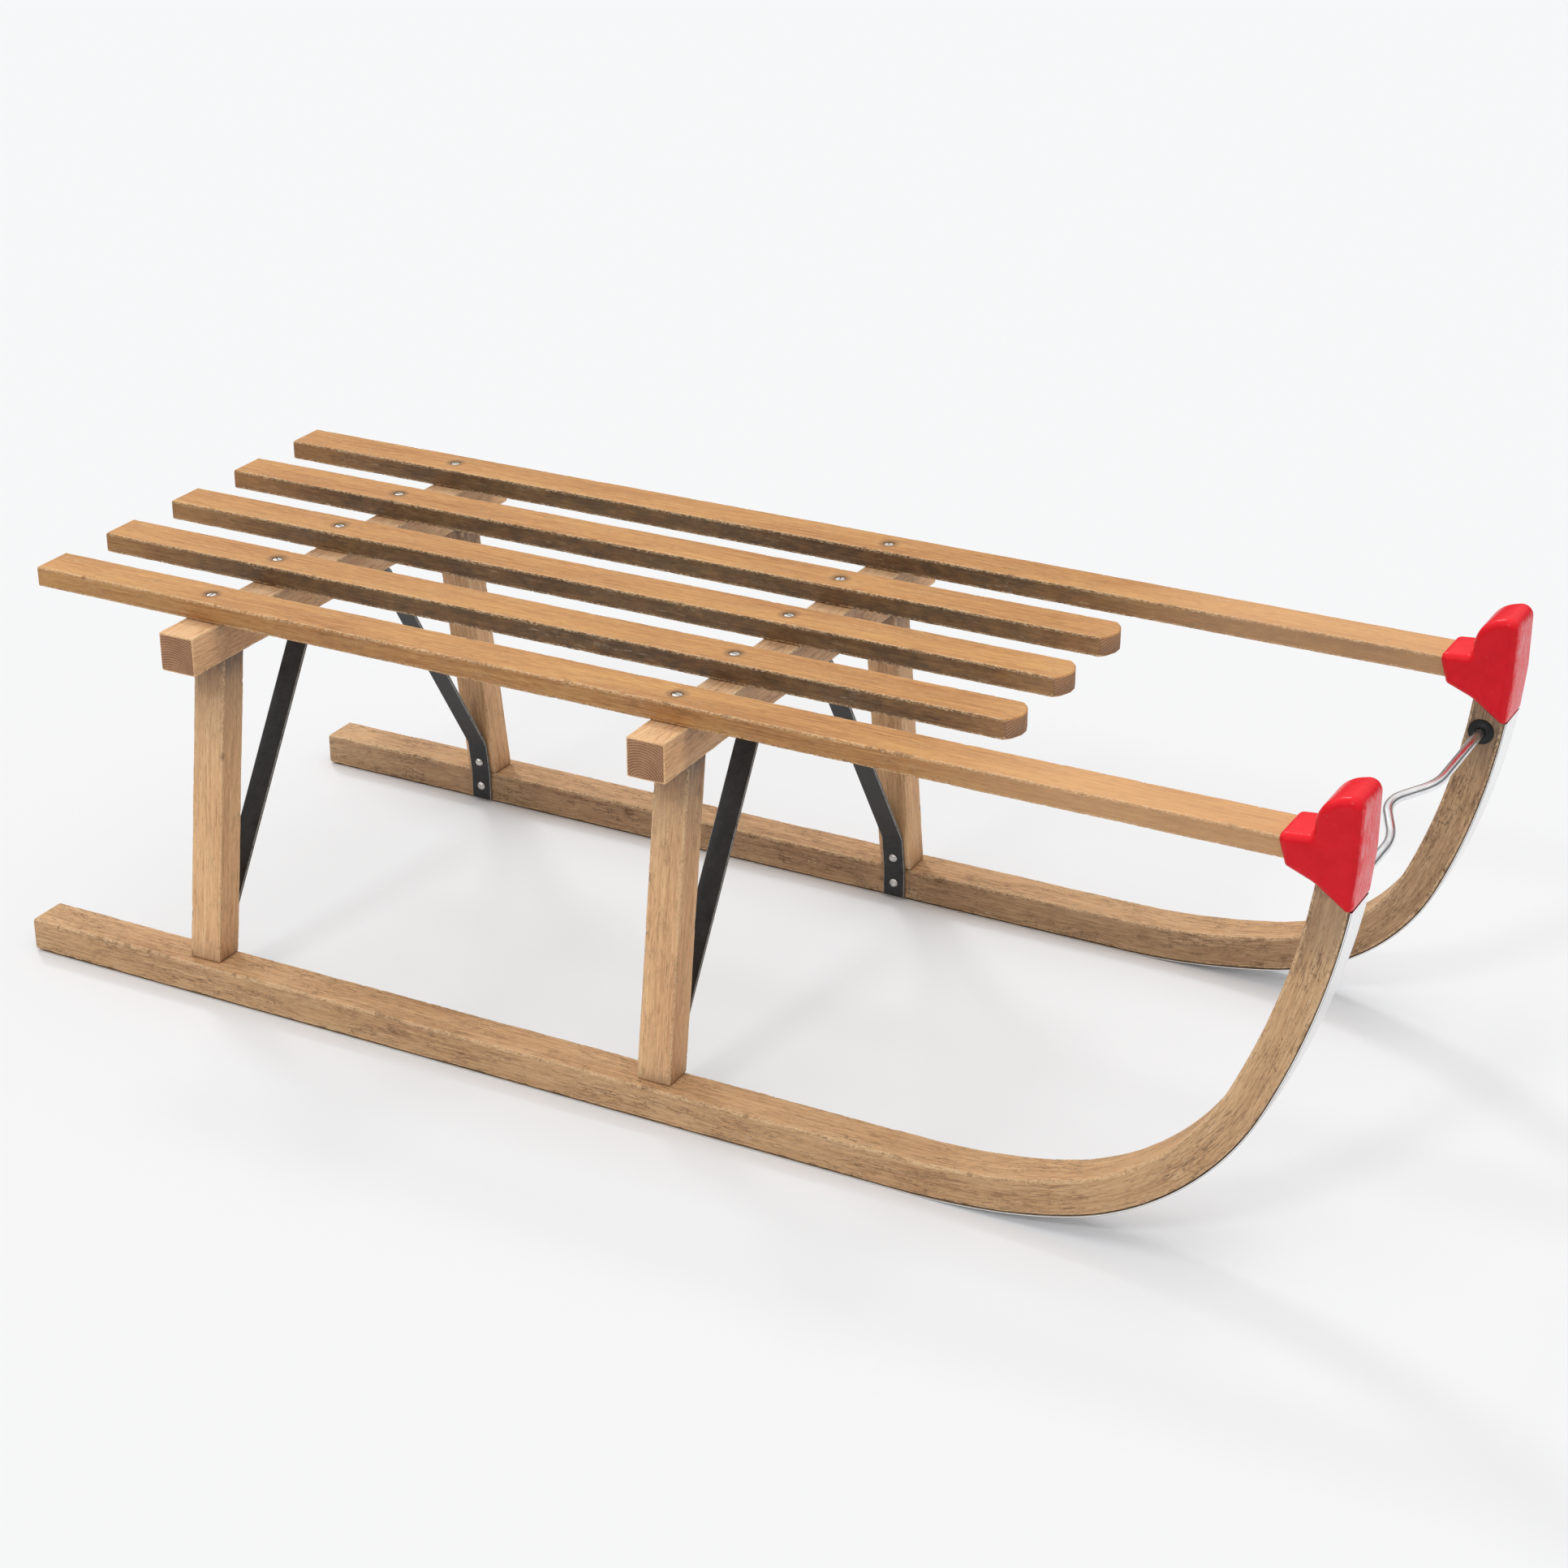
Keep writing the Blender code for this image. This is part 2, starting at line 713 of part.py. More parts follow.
def add_leg(name, x, side, material, parent):
    """A splayed leg with a tenon at each end."""
    bm = bmesh.new()
    sheared_block(bm, x, side, LEG_WIDTH / 2, LEG_DEPTH / 2, LEG_BOTTOM, LEG_TOP)
    soften(bm, LEG_EDGE)
    leg = add_piece(name, bm, material, parent)
    tenons = bmesh.new()
    overlap = TENON_SHOULDER
    tenon_shell(tenons, x, side, LEG_TOP - overlap, LEG_TOP + upper_tenon(), 0.0)
    tenon_shell(tenons, x, side, LEG_BOTTOM - lower_tenon(), LEG_BOTTOM + overlap, 0.0)
    cut(leg, name + "_tenons", tenons, parent)
    leg.modifiers[-1].operation = 'UNION'
    holes = bmesh.new()
    hole_shells(holes, brace_screw_hole(), foot_screw_places(x, side)[1:])
    cut(leg, name + "_hole", holes, parent)
    return leg


def add_crossbeam(name, x, material, parent):
    """A crossbeam with its mortises and screw holes."""
    bm = bmesh.new()
    middle = x + BEAM_AHEAD
    low = (middle - BEAM_WIDTH / 2, -BEAM_LENGTH / 2, BEAM_BOTTOM)
    high = (middle + BEAM_WIDTH / 2, BEAM_LENGTH / 2, BEAM_TOP)
    add_block(bm, low, high)
    soften(bm, BEAM_EDGE)
    beam = add_piece(name, bm, material, parent)
    holes = bmesh.new()
    for row in range(-2, 3):
        places = seat_screw_places(row * SLAT_PITCH)
        hole_shells(holes, seat_screw_hole(), places[:1] if x == 0.0 else places[1:])
    hole_shells(holes, brace_screw_hole(), top_screw_places(x))
    for side in (-1, 1):
        top = LEG_TOP + upper_tenon() + SEAT_GAP
        tenon_shell(holes, x, side, LEG_TOP - SEAT_GAP, top, SEAT_GAP)
    cut(beam, name + "_holes", holes, parent)
    return beam


def add_runner(name, side, material, parent):
    """A steam-bent runner, swept along its bend, with mortises and screw holes."""
    bm = bmesh.new()
    section = rounded_rectangle(RUNNER_WIDTH / 2, RUNNER_HEIGHT / 2, RUNNER_EDGE)
    rings = sweep(bm, section, runner_stations(runner_line(), side), HORN_TOP)
    rear_edges = {edge for vert in rings[0] for edge in vert.link_edges}
    rear = [edge for edge in rear_edges if edge.verts[0] in rings[0] and edge.verts[1] in rings[0]]
    bmesh.ops.bevel(bm, geom=rear, offset=RUNNER_EDGE, segments=2, profile=0.5, affect='EDGES')
    runner = add_piece(name, bm, material, parent)
    holes = bmesh.new()
    for x in (0.0, BEAM_PITCH):
        bottom = LEG_BOTTOM - lower_tenon() - SEAT_GAP
        tenon_shell(holes, x, side, bottom, LEG_BOTTOM + SEAT_GAP, SEAT_GAP)
        hole_shells(holes, brace_screw_hole(), foot_screw_places(x, side)[:1])
    hole_shells(holes, shoe_screw_hole(), shoe_screw_places(side))
    bush_pocket(holes, side)
    cut(runner, name + "_holes", holes, parent)
    return runner


# Metal pieces


def add_shoe(name, side, material, parent):
    """A steel strip under a runner and up the front of its horn."""
    line = line_from_x(runner_line(), -RUNNER_REAR_REACH + SHOE_REAR_SETBACK)
    flat = line[:1]
    climb = line_in_heights(line, RUNNER_AXIS, HORN_TOP - SHOE_TOP_DROP)
    stations = runner_stations(flat + climb, side)
    drop = -(RUNNER_HEIGHT / 2 + SEAT_GAP + SHOE_THICKNESS / 2)
    bm = bmesh.new()
    sweep(bm, rectangle(RUNNER_WIDTH / 2, SHOE_THICKNESS / 2, drop), stations)
    shoe = add_piece(name, bm, material, parent)
    holes = bmesh.new()
    hole_shells(holes, shoe_screw_hole(), shoe_screw_places(side))
    cut(shoe, name + "_holes", holes, parent)
    return shoe


def brace_line():
    """Points and directions (y, z) along the middle of a brace, from its right foot to its left."""
    stack = SEAT_GAP + BRACE_THICKNESS / 2
    knee_height = LEG_BOTTOM + BRACE_LEG_RUN
    slant = stack / math.cos(LEG_SPLAY)
    foot_y = RUNNER_INNER_Y - stack
    kink = LEG_BOTTOM - (slant - stack) / math.tan(LEG_SPLAY)
    half = [
        (foot_y, RUNNER_BOTTOM + BRACE_FOOT_RISE),
        (foot_y, kink),
        (leg_inner_face(knee_height) - slant, knee_height),
        (BRACE_TOP_HALF, BEAM_BOTTOM - stack),
    ]
    corners = [(-y, z) for y, z in half] + half[::-1]
    bends = [BRACE_FOOT_RADIUS, BRACE_KNEE_RADIUS, BRACE_TOP_RADIUS]
    return rounded_path(corners, bends + bends[::-1])


def add_brace(name, x, material, parent):
    """A band iron arch between the feet of two legs, flat under the crossbeam."""
    stations = []
    for point, going in brace_line():
        origin = Vector((x, point.x, point.y))
        stations.append((origin, Vector((1, 0, 0)), Vector((0, -going.y, going.x))))
    bm = bmesh.new()
    sweep(bm, rectangle(BRACE_WIDTH / 2, BRACE_THICKNESS / 2), stations)
    brace = add_piece(name, bm, material, parent)
    holes = bmesh.new()
    for side in (-1, 1):
        hole_shells(holes, brace_screw_hole(), foot_screw_places(x, side))
    hole_shells(holes, brace_screw_hole(), top_screw_places(x))
    cut(brace, name + "_holes", holes, parent)
    return brace


# Pull bar and bushes


def pull_bar_axis():
    """Middle of the line that the pull bar turns about."""
    z = HORN_TOP - PULL_BAR_DROP
    return Vector((horn_at(z)[0] - PULL_BAR_SETBACK, 0.0, z))


def horn_inner_face():
    """y of the horns' inner faces at the height of the pull bar."""
    return horn_at(HORN_TOP - PULL_BAR_DROP)[1] - RUNNER_WIDTH / 2


def add_pull_bar(name, material, axis_empty):
    """A round rod with a notch for the rope, bent back and a little up."""
    end = horn_inner_face() + PULL_BAR_GRIP
    depth = NOTCH_DEPTH + NOTCH_APEX_RADIUS * (1 / math.cos(NOTCH_LEAN) - 1)
    foot = depth / math.tan(NOTCH_LEAN)
    corners = [(-end, 0.0), (-foot, 0.0), (0.0, depth), (foot, 0.0), (end, 0.0)]
    radii = [NOTCH_SHOULDER_RADIUS, NOTCH_APEX_RADIUS, NOTCH_SHOULDER_RADIUS]
    back = Vector((-math.cos(NOTCH_TILT), 0.0, math.sin(NOTCH_TILT)))
    across = Vector((math.sin(NOTCH_TILT), 0.0, math.cos(NOTCH_TILT)))
    stations = []
    for point, going in rounded_path(corners, radii):
        origin = Vector((0.0, point.x, 0.0)) + back * point.y
        normal = back * going.x - Vector((0.0, going.y, 0.0))
        stations.append((origin, across, normal))
    bm = bmesh.new()
    sweep(bm, circle(PULL_BAR_RADIUS, 14), stations)
    return add_piece(name, bm, material, axis_empty)


def bush_frame(side):
    """Frame of a bush: z = 0 on the horn's inner face, +Z towards the sled's middle."""
    axis = pull_bar_axis()
    return frame_towards((axis.x, side * horn_inner_face(), axis.z), (0, -side, 0))


def bush_profile():
    """Closed profile (radius, height) of a bush with a flange and a lip round its bore."""
    bore = PULL_BAR_RADIUS + SEAT_GAP
    lip = BUSH_FLANGE_THICKNESS + BUSH_LIP
    edge = BUSH_FLANGE_THICKNESS * 0.4
    return [
        (bore, lip),
        (BUSH_BODY_RADIUS, lip),
        (BUSH_BODY_RADIUS + BUSH_LIP, BUSH_FLANGE_THICKNESS),
        (BUSH_FLANGE_RADIUS - edge, BUSH_FLANGE_THICKNESS),
        (BUSH_FLANGE_RADIUS, BUSH_FLANGE_THICKNESS - edge),
        (BUSH_FLANGE_RADIUS, -BUSH_FLANGE_SINK),
        (BUSH_BODY_RADIUS, -BUSH_FLANGE_SINK),
        (BUSH_BODY_RADIUS, -BUSH_DEPTH),
        (bore, -BUSH_DEPTH),
    ]


def bush_pocket(bm, side):
    """The bore in a horn that a bush sits in, with a shallow facing for its flange."""
    facing = BUSH_FLANGE_RADIUS + SEAT_GAP
    pocket = BUSH_BODY_RADIUS + SEAT_GAP
    above = BUSH_FLANGE_THICKNESS
    profile = [
        (0.0, above),
        (facing, above),
        (facing, -BUSH_FLANGE_SINK - SEAT_GAP),
        (pocket, -BUSH_FLANGE_SINK - SEAT_GAP),
        (pocket, -BUSH_DEPTH - SEAT_GAP),
        (0.0, -BUSH_DEPTH - SEAT_GAP),
    ]
    turn_profile(bm, profile, bush_frame(side), 24)


def add_bush(name, side, material, parent):
    """A rubber bush in a horn."""
    bm = bmesh.new()
    rings = []
    for radius, height in bush_profile():
        rings.append([bm.verts.new((x, y, height)) for x, y in circle(radius, 24)])
    bridge_rings(bm, rings, closed=True)
    bush = add_piece(name, bm, material, parent)
    bush.matrix_local = bush_frame(side)
    return bush


# Bumpers


def bumper_corners():
    """Side outline of a bumper as corners (x, z, fillet radius), counter-clockwise from the tip."""
    front = horn_front() + SEAT_GAP + BUMPER_FRONT_WALL
    rear = front - BUMPER_LENGTH
    fin_x = front - BUMPER_FIN_LENGTH
    chin_x = front - BUMPER_CHIN_LENGTH
    collar_top = SLAT_TOP + SEAT_GAP + BUMPER_TOP_WALL
    collar_rise = (fin_x - rear) * math.tan(BUMPER_COLLAR_SLOPE)
    heel_z = SLAT_BOTTOM - SEAT_GAP - BUMPER_BOTTOM_WALL
    heel_x = rear + (collar_top - heel_z) * math.tan(BUMPER_COLLAR_LEAN)
    chin_z = heel_z - (chin_x - heel_x) * math.tan(BUMPER_CHIN_LEAN)
    knee_z = SLAT_BOTTOM + BUMPER_KNEE_RISE
    slope, lean = math.tan(BUMPER_TIP_LEAN), math.tan(BUMPER_FRONT_LEAN)
    tip_x = (front - (knee_z - chin_z - chin_x * slope) * lean) / (1 + slope * lean)
    tip_z = chin_z - (tip_x - chin_x) * slope
    fin_top = SLAT_TOP + BUMPER_FIN_HEIGHT
    fin_rear_top = fin_top - (front - fin_x) * math.tan(BUMPER_FIN_SLOPE)
    return [
        (tip_x, tip_z, BUMPER_TIP_RADIUS),
        (front, knee_z, BUMPER_KNEE_RADIUS),
        (front, fin_top, BUMPER_NOSE_RADIUS),
        (fin_x, fin_rear_top, BUMPER_FIN_RADIUS),
        (fin_x, collar_top + collar_rise, BUMPER_RIM_RADIUS / 2),
        (rear, collar_top, BUMPER_RIM_RADIUS),
        (heel_x, heel_z, BUMPER_RIM_RADIUS),
        (chin_x, chin_z, BUMPER_CHIN_RADIUS),
    ]


def add_bumper(name, side, material, parent):
    """A moulded bumper with rounded edges, hollow for the slat's end, the horn and the shoe."""
    corners = bumper_corners()
    half = SLAT_WIDTH / 2 + SEAT_GAP + BUMPER_SIDE_WALL
    slices = []
    for step in range(5):
        turn = math.pi / 2 * step / 4
        slices.append((half - BUMPER_EDGE * (1 - math.cos(turn)), BUMPER_EDGE * (1 - math.sin(turn))))
    slices += [(-y, inset) for y, inset in slices[::-1]]
    bm = bmesh.new()
    rings = []
    for y, inset in slices:
        outline = closed_outline(corners, inset)
        rings.append([bm.verts.new((point.x, side * OUTER_SLAT_Y + y, point.y)) for point in outline])
    bridge_rings(bm, rings)
    bumper = add_piece(name, bm, material, parent)
    cut_slat_socket(bumper, name, side, corners, parent)
    cut_horn_socket(bumper, name, side, corners, parent)
    return bumper


def cut_slat_socket(bumper, name, side, corners, parent):
    """Open the bumper's rear for the outer slat's end."""
    rear = min(corner[0] for corner in corners) - BUMPER_EDGE
    half = SLAT_WIDTH / 2 + SEAT_GAP
    middle = side * OUTER_SLAT_Y
    low = (rear, middle - half, SLAT_BOTTOM - SEAT_GAP)
    high = (horn_front() - OUTER_SLAT_SETBACK + SEAT_GAP, middle + half, SLAT_TOP + SEAT_GAP)
    socket = bmesh.new()
    add_block(socket, low, high)
    cut(bumper, name + "_slat_socket", socket, parent)


def cut_horn_socket(bumper, name, side, corners, parent):
    """Open the bumper's underside for the horn and the top of its shoe."""
    below = min(corner[1] for corner in corners) - BUMPER_EDGE
    line = line_in_heights(runner_line(), below, HORN_TOP)
    grown = RUNNER_WIDTH / 2 + SEAT_GAP
    horn = bmesh.new()
    section = rectangle(grown, RUNNER_HEIGHT / 2 + SEAT_GAP)
    sweep(horn, section, runner_stations(line, side), SLAT_BOTTOM + SEAT_GAP)
    cut(bumper, name + "_horn_socket", horn, parent)
    line = line_in_heights(runner_line(), below, HORN_TOP - SHOE_TOP_DROP + SEAT_GAP)
    middle = -(RUNNER_HEIGHT / 2 + SEAT_GAP + SHOE_THICKNESS / 2)
    shoe = bmesh.new()
    section = rectangle(grown + SEAT_GAP / 3, SHOE_THICKNESS / 2 + SEAT_GAP, middle)
    sweep(shoe, section, runner_stations(line, side))
    cut(bumper, name + "_shoe_socket", shoe, parent)


# The whole sled


def add_slats(parent):
    """Five slats, the outer two running on into the bumpers."""
    wood = slat_wood()
    short = BEAM_PITCH + SLAT_FRONT_REACH
    long = horn_front() - OUTER_SLAT_SETBACK
    names = ("slat_outer_right", "slat_inner_right", "slat_centre", "slat_inner_left", "slat_outer_left")
    for row, name in zip(range(-2, 3), names):
        if abs(row) == 2:
            add_slat(name, row * SLAT_PITCH, long, 0.0, wood, parent)
        else:
            add_slat(name, row * SLAT_PITCH, short, SLAT_CROWN, wood, parent)


def add_seat_screws(parent):
    """Two countersunk screws in each slat."""
    steel = screw_steel()
    profile = countersunk(SEAT_SCREW_HEAD_RADIUS, SEAT_SCREW_RADIUS, seat_screw_length())
    mesh = slotted_mesh("seat_screw", profile, SEAT_SCREW_HEAD_RADIUS, steel)
    for row in range(-2, 3):
        for end, place in zip(("rear", "front"), seat_screw_places(row * SLAT_PITCH)):
            turn = math.radians(40 + 67 * row + (25 if end == "rear" else 0))
            add_screw("seat_screw_%s_%d" % (end, row + 3), mesh, steel, place, turn, parent)


def add_brace_screws(parent):
    """Round-headed screws at the braces' feet and tops."""
    steel = screw_steel()
    profile = domed(
        BRACE_SCREW_HEAD_RADIUS, BRACE_SCREW_HEAD_RISE, BRACE_SCREW_RADIUS, brace_screw_length()
    )
    mesh = slotted_mesh("brace_screw", profile, BRACE_SCREW_HEAD_RADIUS, steel)
    for end, x in (("rear", 0.0), ("front", BEAM_PITCH)):
        for side, side_name in ((-1, "right"), (1, "left")):
            for level, place in zip(("low", "high"), foot_screw_places(x, side)):
                name = "brace_screw_%s_%s_%s" % (end, side_name, level)
                add_screw(name, mesh, steel, place, math.radians(30 * side + 15), parent)
        for side_name, place in zip(("right", "left"), top_screw_places(x)):
            name = "brace_screw_%s_top_%s" % (end, side_name)
            add_screw(name, mesh, steel, place, math.radians(55), parent)


def add_shoe_screws(parent):
    """Countersunk screws along each shoe."""
    steel = screw_steel()
    profile = countersunk(SHOE_SCREW_HEAD_RADIUS, SHOE_SCREW_RADIUS, shoe_screw_length())
    mesh = slotted_mesh("shoe_screw", profile, SHOE_SCREW_HEAD_RADIUS, steel)
    for side, side_name in ((-1, "right"), (1, "left")):
        for number, place in enumerate(shoe_screw_places(side), 1):
            turn = math.radians(50 * number)
            add_screw("shoe_screw_%s_%d" % (side_name, number), mesh, steel, place, turn, parent)


def build_sled():
    """Clear the scene and model every piece."""
    for item in list(bpy.data.objects):
        bpy.data.objects.remove(item, do_unlink=True)
    front = max(corner[0] for corner in bumper_corners())
    middle = (front - RUNNER_REAR_REACH) / 2
    sled = add_empty("sled", (-middle, 0.0, 0.0))
    add_slats(sled)
    beam_wood = frame_wood()
    bent_wood = runner_wood()
    iron = black_iron()
    shoe_metal = shoe_steel()
    plastic = bumper_plastic()
    rubber = bush_rubber()
    for end, x in (("rear", 0.0), ("front", BEAM_PITCH)):
        add_crossbeam("crossbeam_" + end, x, beam_wood, sled)
        add_brace("brace_" + end, x, iron, sled)
        for side, side_name in ((-1, "right"), (1, "left")):
            add_leg("leg_%s_%s" % (end, side_name), x, side, beam_wood, sled)
    for side, side_name in ((-1, "right"), (1, "left")):
        add_runner("runner_" + side_name, side, bent_wood, sled)
        add_shoe("shoe_" + side_name, side, shoe_metal, sled)
        add_bumper("bumper_" + side_name, side, plastic, sled)
        add_bush("bush_" + side_name, side, rubber, sled)
    axis = add_empty("pull_bar_axis", pull_bar_axis(), sled)
    add_pull_bar("pull_bar", bar_chrome(), axis)
    add_seat_screws(sled)
    add_brace_screws(sled)
    add_shoe_screws(sled)


build_sled()
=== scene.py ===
"""Looks of a used wooden sled with bent runners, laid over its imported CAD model.

Lengths are in metres. +X is forward, +Y is left, +Z is up and the ground is z = 0. Each shown piece is
a surface worked out with numpy on the sizes of the CAD piece that it stands for. The wooden ones carry
coordinates of their timber (along, across, through), so that the grain follows every bend and comes
out as growth rings where a piece is cut off.
"""

import json
import math

import bpy
import numpy as np
from mathutils import Matrix, Vector


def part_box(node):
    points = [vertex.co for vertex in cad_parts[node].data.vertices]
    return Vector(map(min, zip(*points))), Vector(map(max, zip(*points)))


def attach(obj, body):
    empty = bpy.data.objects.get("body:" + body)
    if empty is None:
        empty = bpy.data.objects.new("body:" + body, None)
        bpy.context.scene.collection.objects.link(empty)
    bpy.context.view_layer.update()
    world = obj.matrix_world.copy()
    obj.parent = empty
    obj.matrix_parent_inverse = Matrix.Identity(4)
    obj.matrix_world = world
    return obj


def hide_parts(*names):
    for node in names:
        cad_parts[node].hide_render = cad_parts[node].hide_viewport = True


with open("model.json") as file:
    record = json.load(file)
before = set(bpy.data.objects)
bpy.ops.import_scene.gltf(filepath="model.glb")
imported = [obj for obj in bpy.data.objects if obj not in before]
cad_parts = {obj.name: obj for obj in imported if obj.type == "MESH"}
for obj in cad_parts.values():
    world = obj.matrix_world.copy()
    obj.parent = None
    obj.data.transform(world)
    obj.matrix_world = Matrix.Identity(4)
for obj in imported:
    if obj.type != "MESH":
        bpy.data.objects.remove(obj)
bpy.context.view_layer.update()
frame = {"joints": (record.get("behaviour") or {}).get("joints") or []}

SLED = "sled_frame"
BAR = "pull_bar"
SIDES = ((-1, "right"), (1, "left"))
chance = np.random.default_rng(41)

# Meshes: how far an edge bends to be sharp, and how far apart the rings of straight timber are
SHARP = math.radians(35.0)
STATION = 0.0013

# Lamps (name, energy, apparent width, azimuth and elevation in degrees) and how bright white is
LAMPS = (
    ("overhead", 0.52, 50.0, 0.0, 88.0),
    ("side", 0.56, 9.0, -98.0, 42.0),
    ("behind", 0.66, 10.0, 141.0, 46.0),
)
WHITE = 0.93

# Play between two pieces, as in the CAD model
GAP = 0.0003

# Runner: section, distance from the other one, its straight part behind and before the rear trestle,
# height of its axis, the arcs of its bend (radius, lean at the end), how far past the straight part it
# starts to move in, the stretch over which its top turns level, and the height where it is cut
RUNNER_WIDTH = 0.0280
RUNNER_HEIGHT = 0.0220
RUNNER_TRACK = 0.3384
RUNNER_REAR = 0.1374
RUNNER_FLAT = 0.3369 + 0.1708
RUNNER_AXIS = 0.0123
BENDS = ((0.4280, math.radians(13.5)), (0.1490, math.radians(66.0)), (0.4640, None))
TOE_START = 0.0560
LEVELLING = 0.0300
HORN_TOP = 0.2527

# Slats, and the crown and its fade at the front of the short ones
SLAT_PITCH = 0.0695
CROWN = 0.0084
CROWN_FADE = 0.0300

# Steel shoe under a runner
SHOE_THICKNESS = 0.0010
SHOE_REAR_SETBACK = 0.0045
SHOE_TOP_DROP = 0.0215

# Legs, from shoulder to shoulder, and the crossbeam on them
LEG_WIDTH = 0.0231
LEG_DEPTH = 0.0210
LEG_BOTTOM = 0.0236
LEG_HEIGHT = 0.2036
LEG_TOP_TRACK = 0.2718
BEAM_BOTTOM = 0.2275

# Band iron brace: section, its foot over the shoe, its knee over the leg's foot, half its flat top, the
# radii of its bends from the foot up, and where its top screws and the upper ones at its foot sit
BRACE_WIDTH = 0.0155
BRACE_THICKNESS = 0.0020
BRACE_FOOT = 0.0012
BRACE_KNEE = 0.0240
BRACE_TOP = 0.0402
BRACE_BENDS = (0.006, 0.009, 0.016)
TOP_SCREW_Y = 0.0240
UPPER_SCREW = 0.0086

# Pull bar: its rod, and the depth, lean, tilt and radii of its notch
BAR_RADIUS = 0.0030
NOTCH_DEPTH = 0.0148
NOTCH_LEAN = math.radians(23.5)
NOTCH_TILT = math.radians(8.0)
NOTCH_RADIUS = 0.0340
SHOULDER_RADIUS = 0.0600

# Screws: radius of the head, height of a round head, radius of the shank, length; profiles (radius,
# height) of their holes, and the slot
SEAT_SCREW = (0.0031, 0.0015, 0.0248)
SHOE_SCREW = (0.0026, 0.0013, 0.0096)
BRACE_SCREW = (0.0031, 0.0018, 0.0014, 0.0116)
SEAT_HOLE = ((0.0036, 0.003), (0.0036, 0.0), (0.0034, -0.0004), (0.0034, -0.0009), (0.0018, -0.0026),
             (0.0018, -0.0140))
SHOE_HOLE = ((0.0029, 0.002), (0.0029, -0.0003), (0.0016, -0.0016), (0.0016, -0.004))
SLOT_WIDTH = 0.0009
SLOT_DEPTH = 0.0008

# Bumper: corners (x from the rear trestle, z, radius) from its lower front anticlockwise, half its
# width, the radius of its edges, and the height where the horn enters its socket
BUMPER_OUTLINE = (
    (0.75649, 0.22726, 0.0030),
    (0.75931, 0.25830, 0.0400),
    (0.75931, 0.29940, 0.0070),
    (0.73231, 0.29217, 0.0200),
    (0.73231, 0.27081, 0.0030),
    (0.71181, 0.26880, 0.0045),
    (0.71761, 0.24970, 0.0035),
    (0.73471, 0.24279, 0.0300),
)
BUMPER_HALF = 0.0178
BUMPER_EDGE = 0.0052
SOCKET_FOOT = 0.2120

# Places across the sled
RUNNER_Y = RUNNER_TRACK / 2
RUNNER_INNER_Y = RUNNER_Y - RUNNER_WIDTH / 2
LEG_BOTTOM_Y = RUNNER_INNER_Y + LEG_DEPTH / 2
LEG_SPLAY = math.atan2(LEG_BOTTOM_Y - LEG_TOP_TRACK / 2, LEG_HEIGHT)

# Tones of the wood, from pale to dark, and of its sawn ends
SLAT_TONES = ("E2AB69", "D1965A", "B67C46")
FRAME_TONES = ("F9CF9C", "EFBE8D", "D3A174")
RUNNER_TONES = ("E8BF91", "DAAD7F", "BE9169")
END_TONES = ("C09572", "A97E5E", "8A6146")


def middle_of(node):
    """Middle of a CAD piece's box."""
    low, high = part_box(node)
    return np.array((low + high) / 2)


def box_parts(node):
    """Low and high corner, middle and half size of a CAD piece's box."""
    low, high = (np.array(corner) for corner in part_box(node))
    return low, high, (low + high) / 2, (high - low) / 2


REAR_X = float(middle_of("seat_screw_rear_3")[0])
FRONT_X = float(middle_of("seat_screw_front_3")[0])
TRESTLES = (("rear", REAR_X), ("front", FRONT_X))
SEAT_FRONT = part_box("slat_centre")[1][0]
BAR_AXIS = np.array(frame["joints"][0]["pos_m"], float)


# Colours and nodes


def linear(hex_colour):
    """Linear red, green, blue and alpha of an sRGB colour written as six hex digits."""
    channels = [int(hex_colour[k:k + 2], 16) / 255 for k in (0, 2, 4)]
    flat = [c / 12.92 if c <= 0.04045 else ((c + 0.055) / 1.055) ** 2.4 for c in channels]
    return (*flat, 1.0)


class Wire:
    """An output of a node in a material or world. A sum of wires adds the nodes that work it out."""

    def __init__(self, owner, socket):
        self.owner = owner
        self.socket = socket

    def __add__(self, other):
        return calc("ADD", self, other)

    def __sub__(self, other):
        return calc("SUBTRACT", self, other)

    def __mul__(self, other):
        return calc("MULTIPLY", self, other)

    def into(self, socket):
        """Join the wire to an input."""
        self.owner.node_tree.links.new(self.socket, socket)


def output(owner, kind, name, links=None, **settings):
    """An output of a new node. Its properties come from settings, its inputs from links: each takes a
    wire, a value or a colour in hex digits."""
    node = owner.node_tree.nodes.new(kind)
    for key, value in settings.items():
        setattr(node, key, value)
    for socket, value in (links or {}).items():
        if isinstance(value, Wire):
            value.into(node.inputs[socket])
        else:
            node.inputs[socket].default_value = linear(value) if isinstance(value, str) else value
    return Wire(owner, node.outputs[name])


def calc(operation, first, second=0.0, clamp=False):
    """One sum of two numbers."""
    links = {0: first, 1: second}
    return output(first.owner, "ShaderNodeMath", 0, links, operation=operation, use_clamp=clamp)


def vector_sum(operation, first, second):
    """One sum of two vectors."""
    return output(first.owner, "ShaderNodeVectorMath", 0, {0: first, 1: second}, operation=operation)


def remap(value, low, high, to_low=0.0, to_high=1.0):
    """A number carried from one range to another and held inside it."""
    links = {0: value, 1: low, 2: high, 3: to_low, 4: to_high}
    return output(value.owner, "ShaderNodeMapRange", 0, links)


def mix(factor, first, second, blend="MIX"):
    """Two colours mixed by a factor."""
    links = {0: factor, 6: first, 7: second}
    return output(factor.owner, "ShaderNodeMix", 2, links, data_type="RGBA", blend_type=blend)


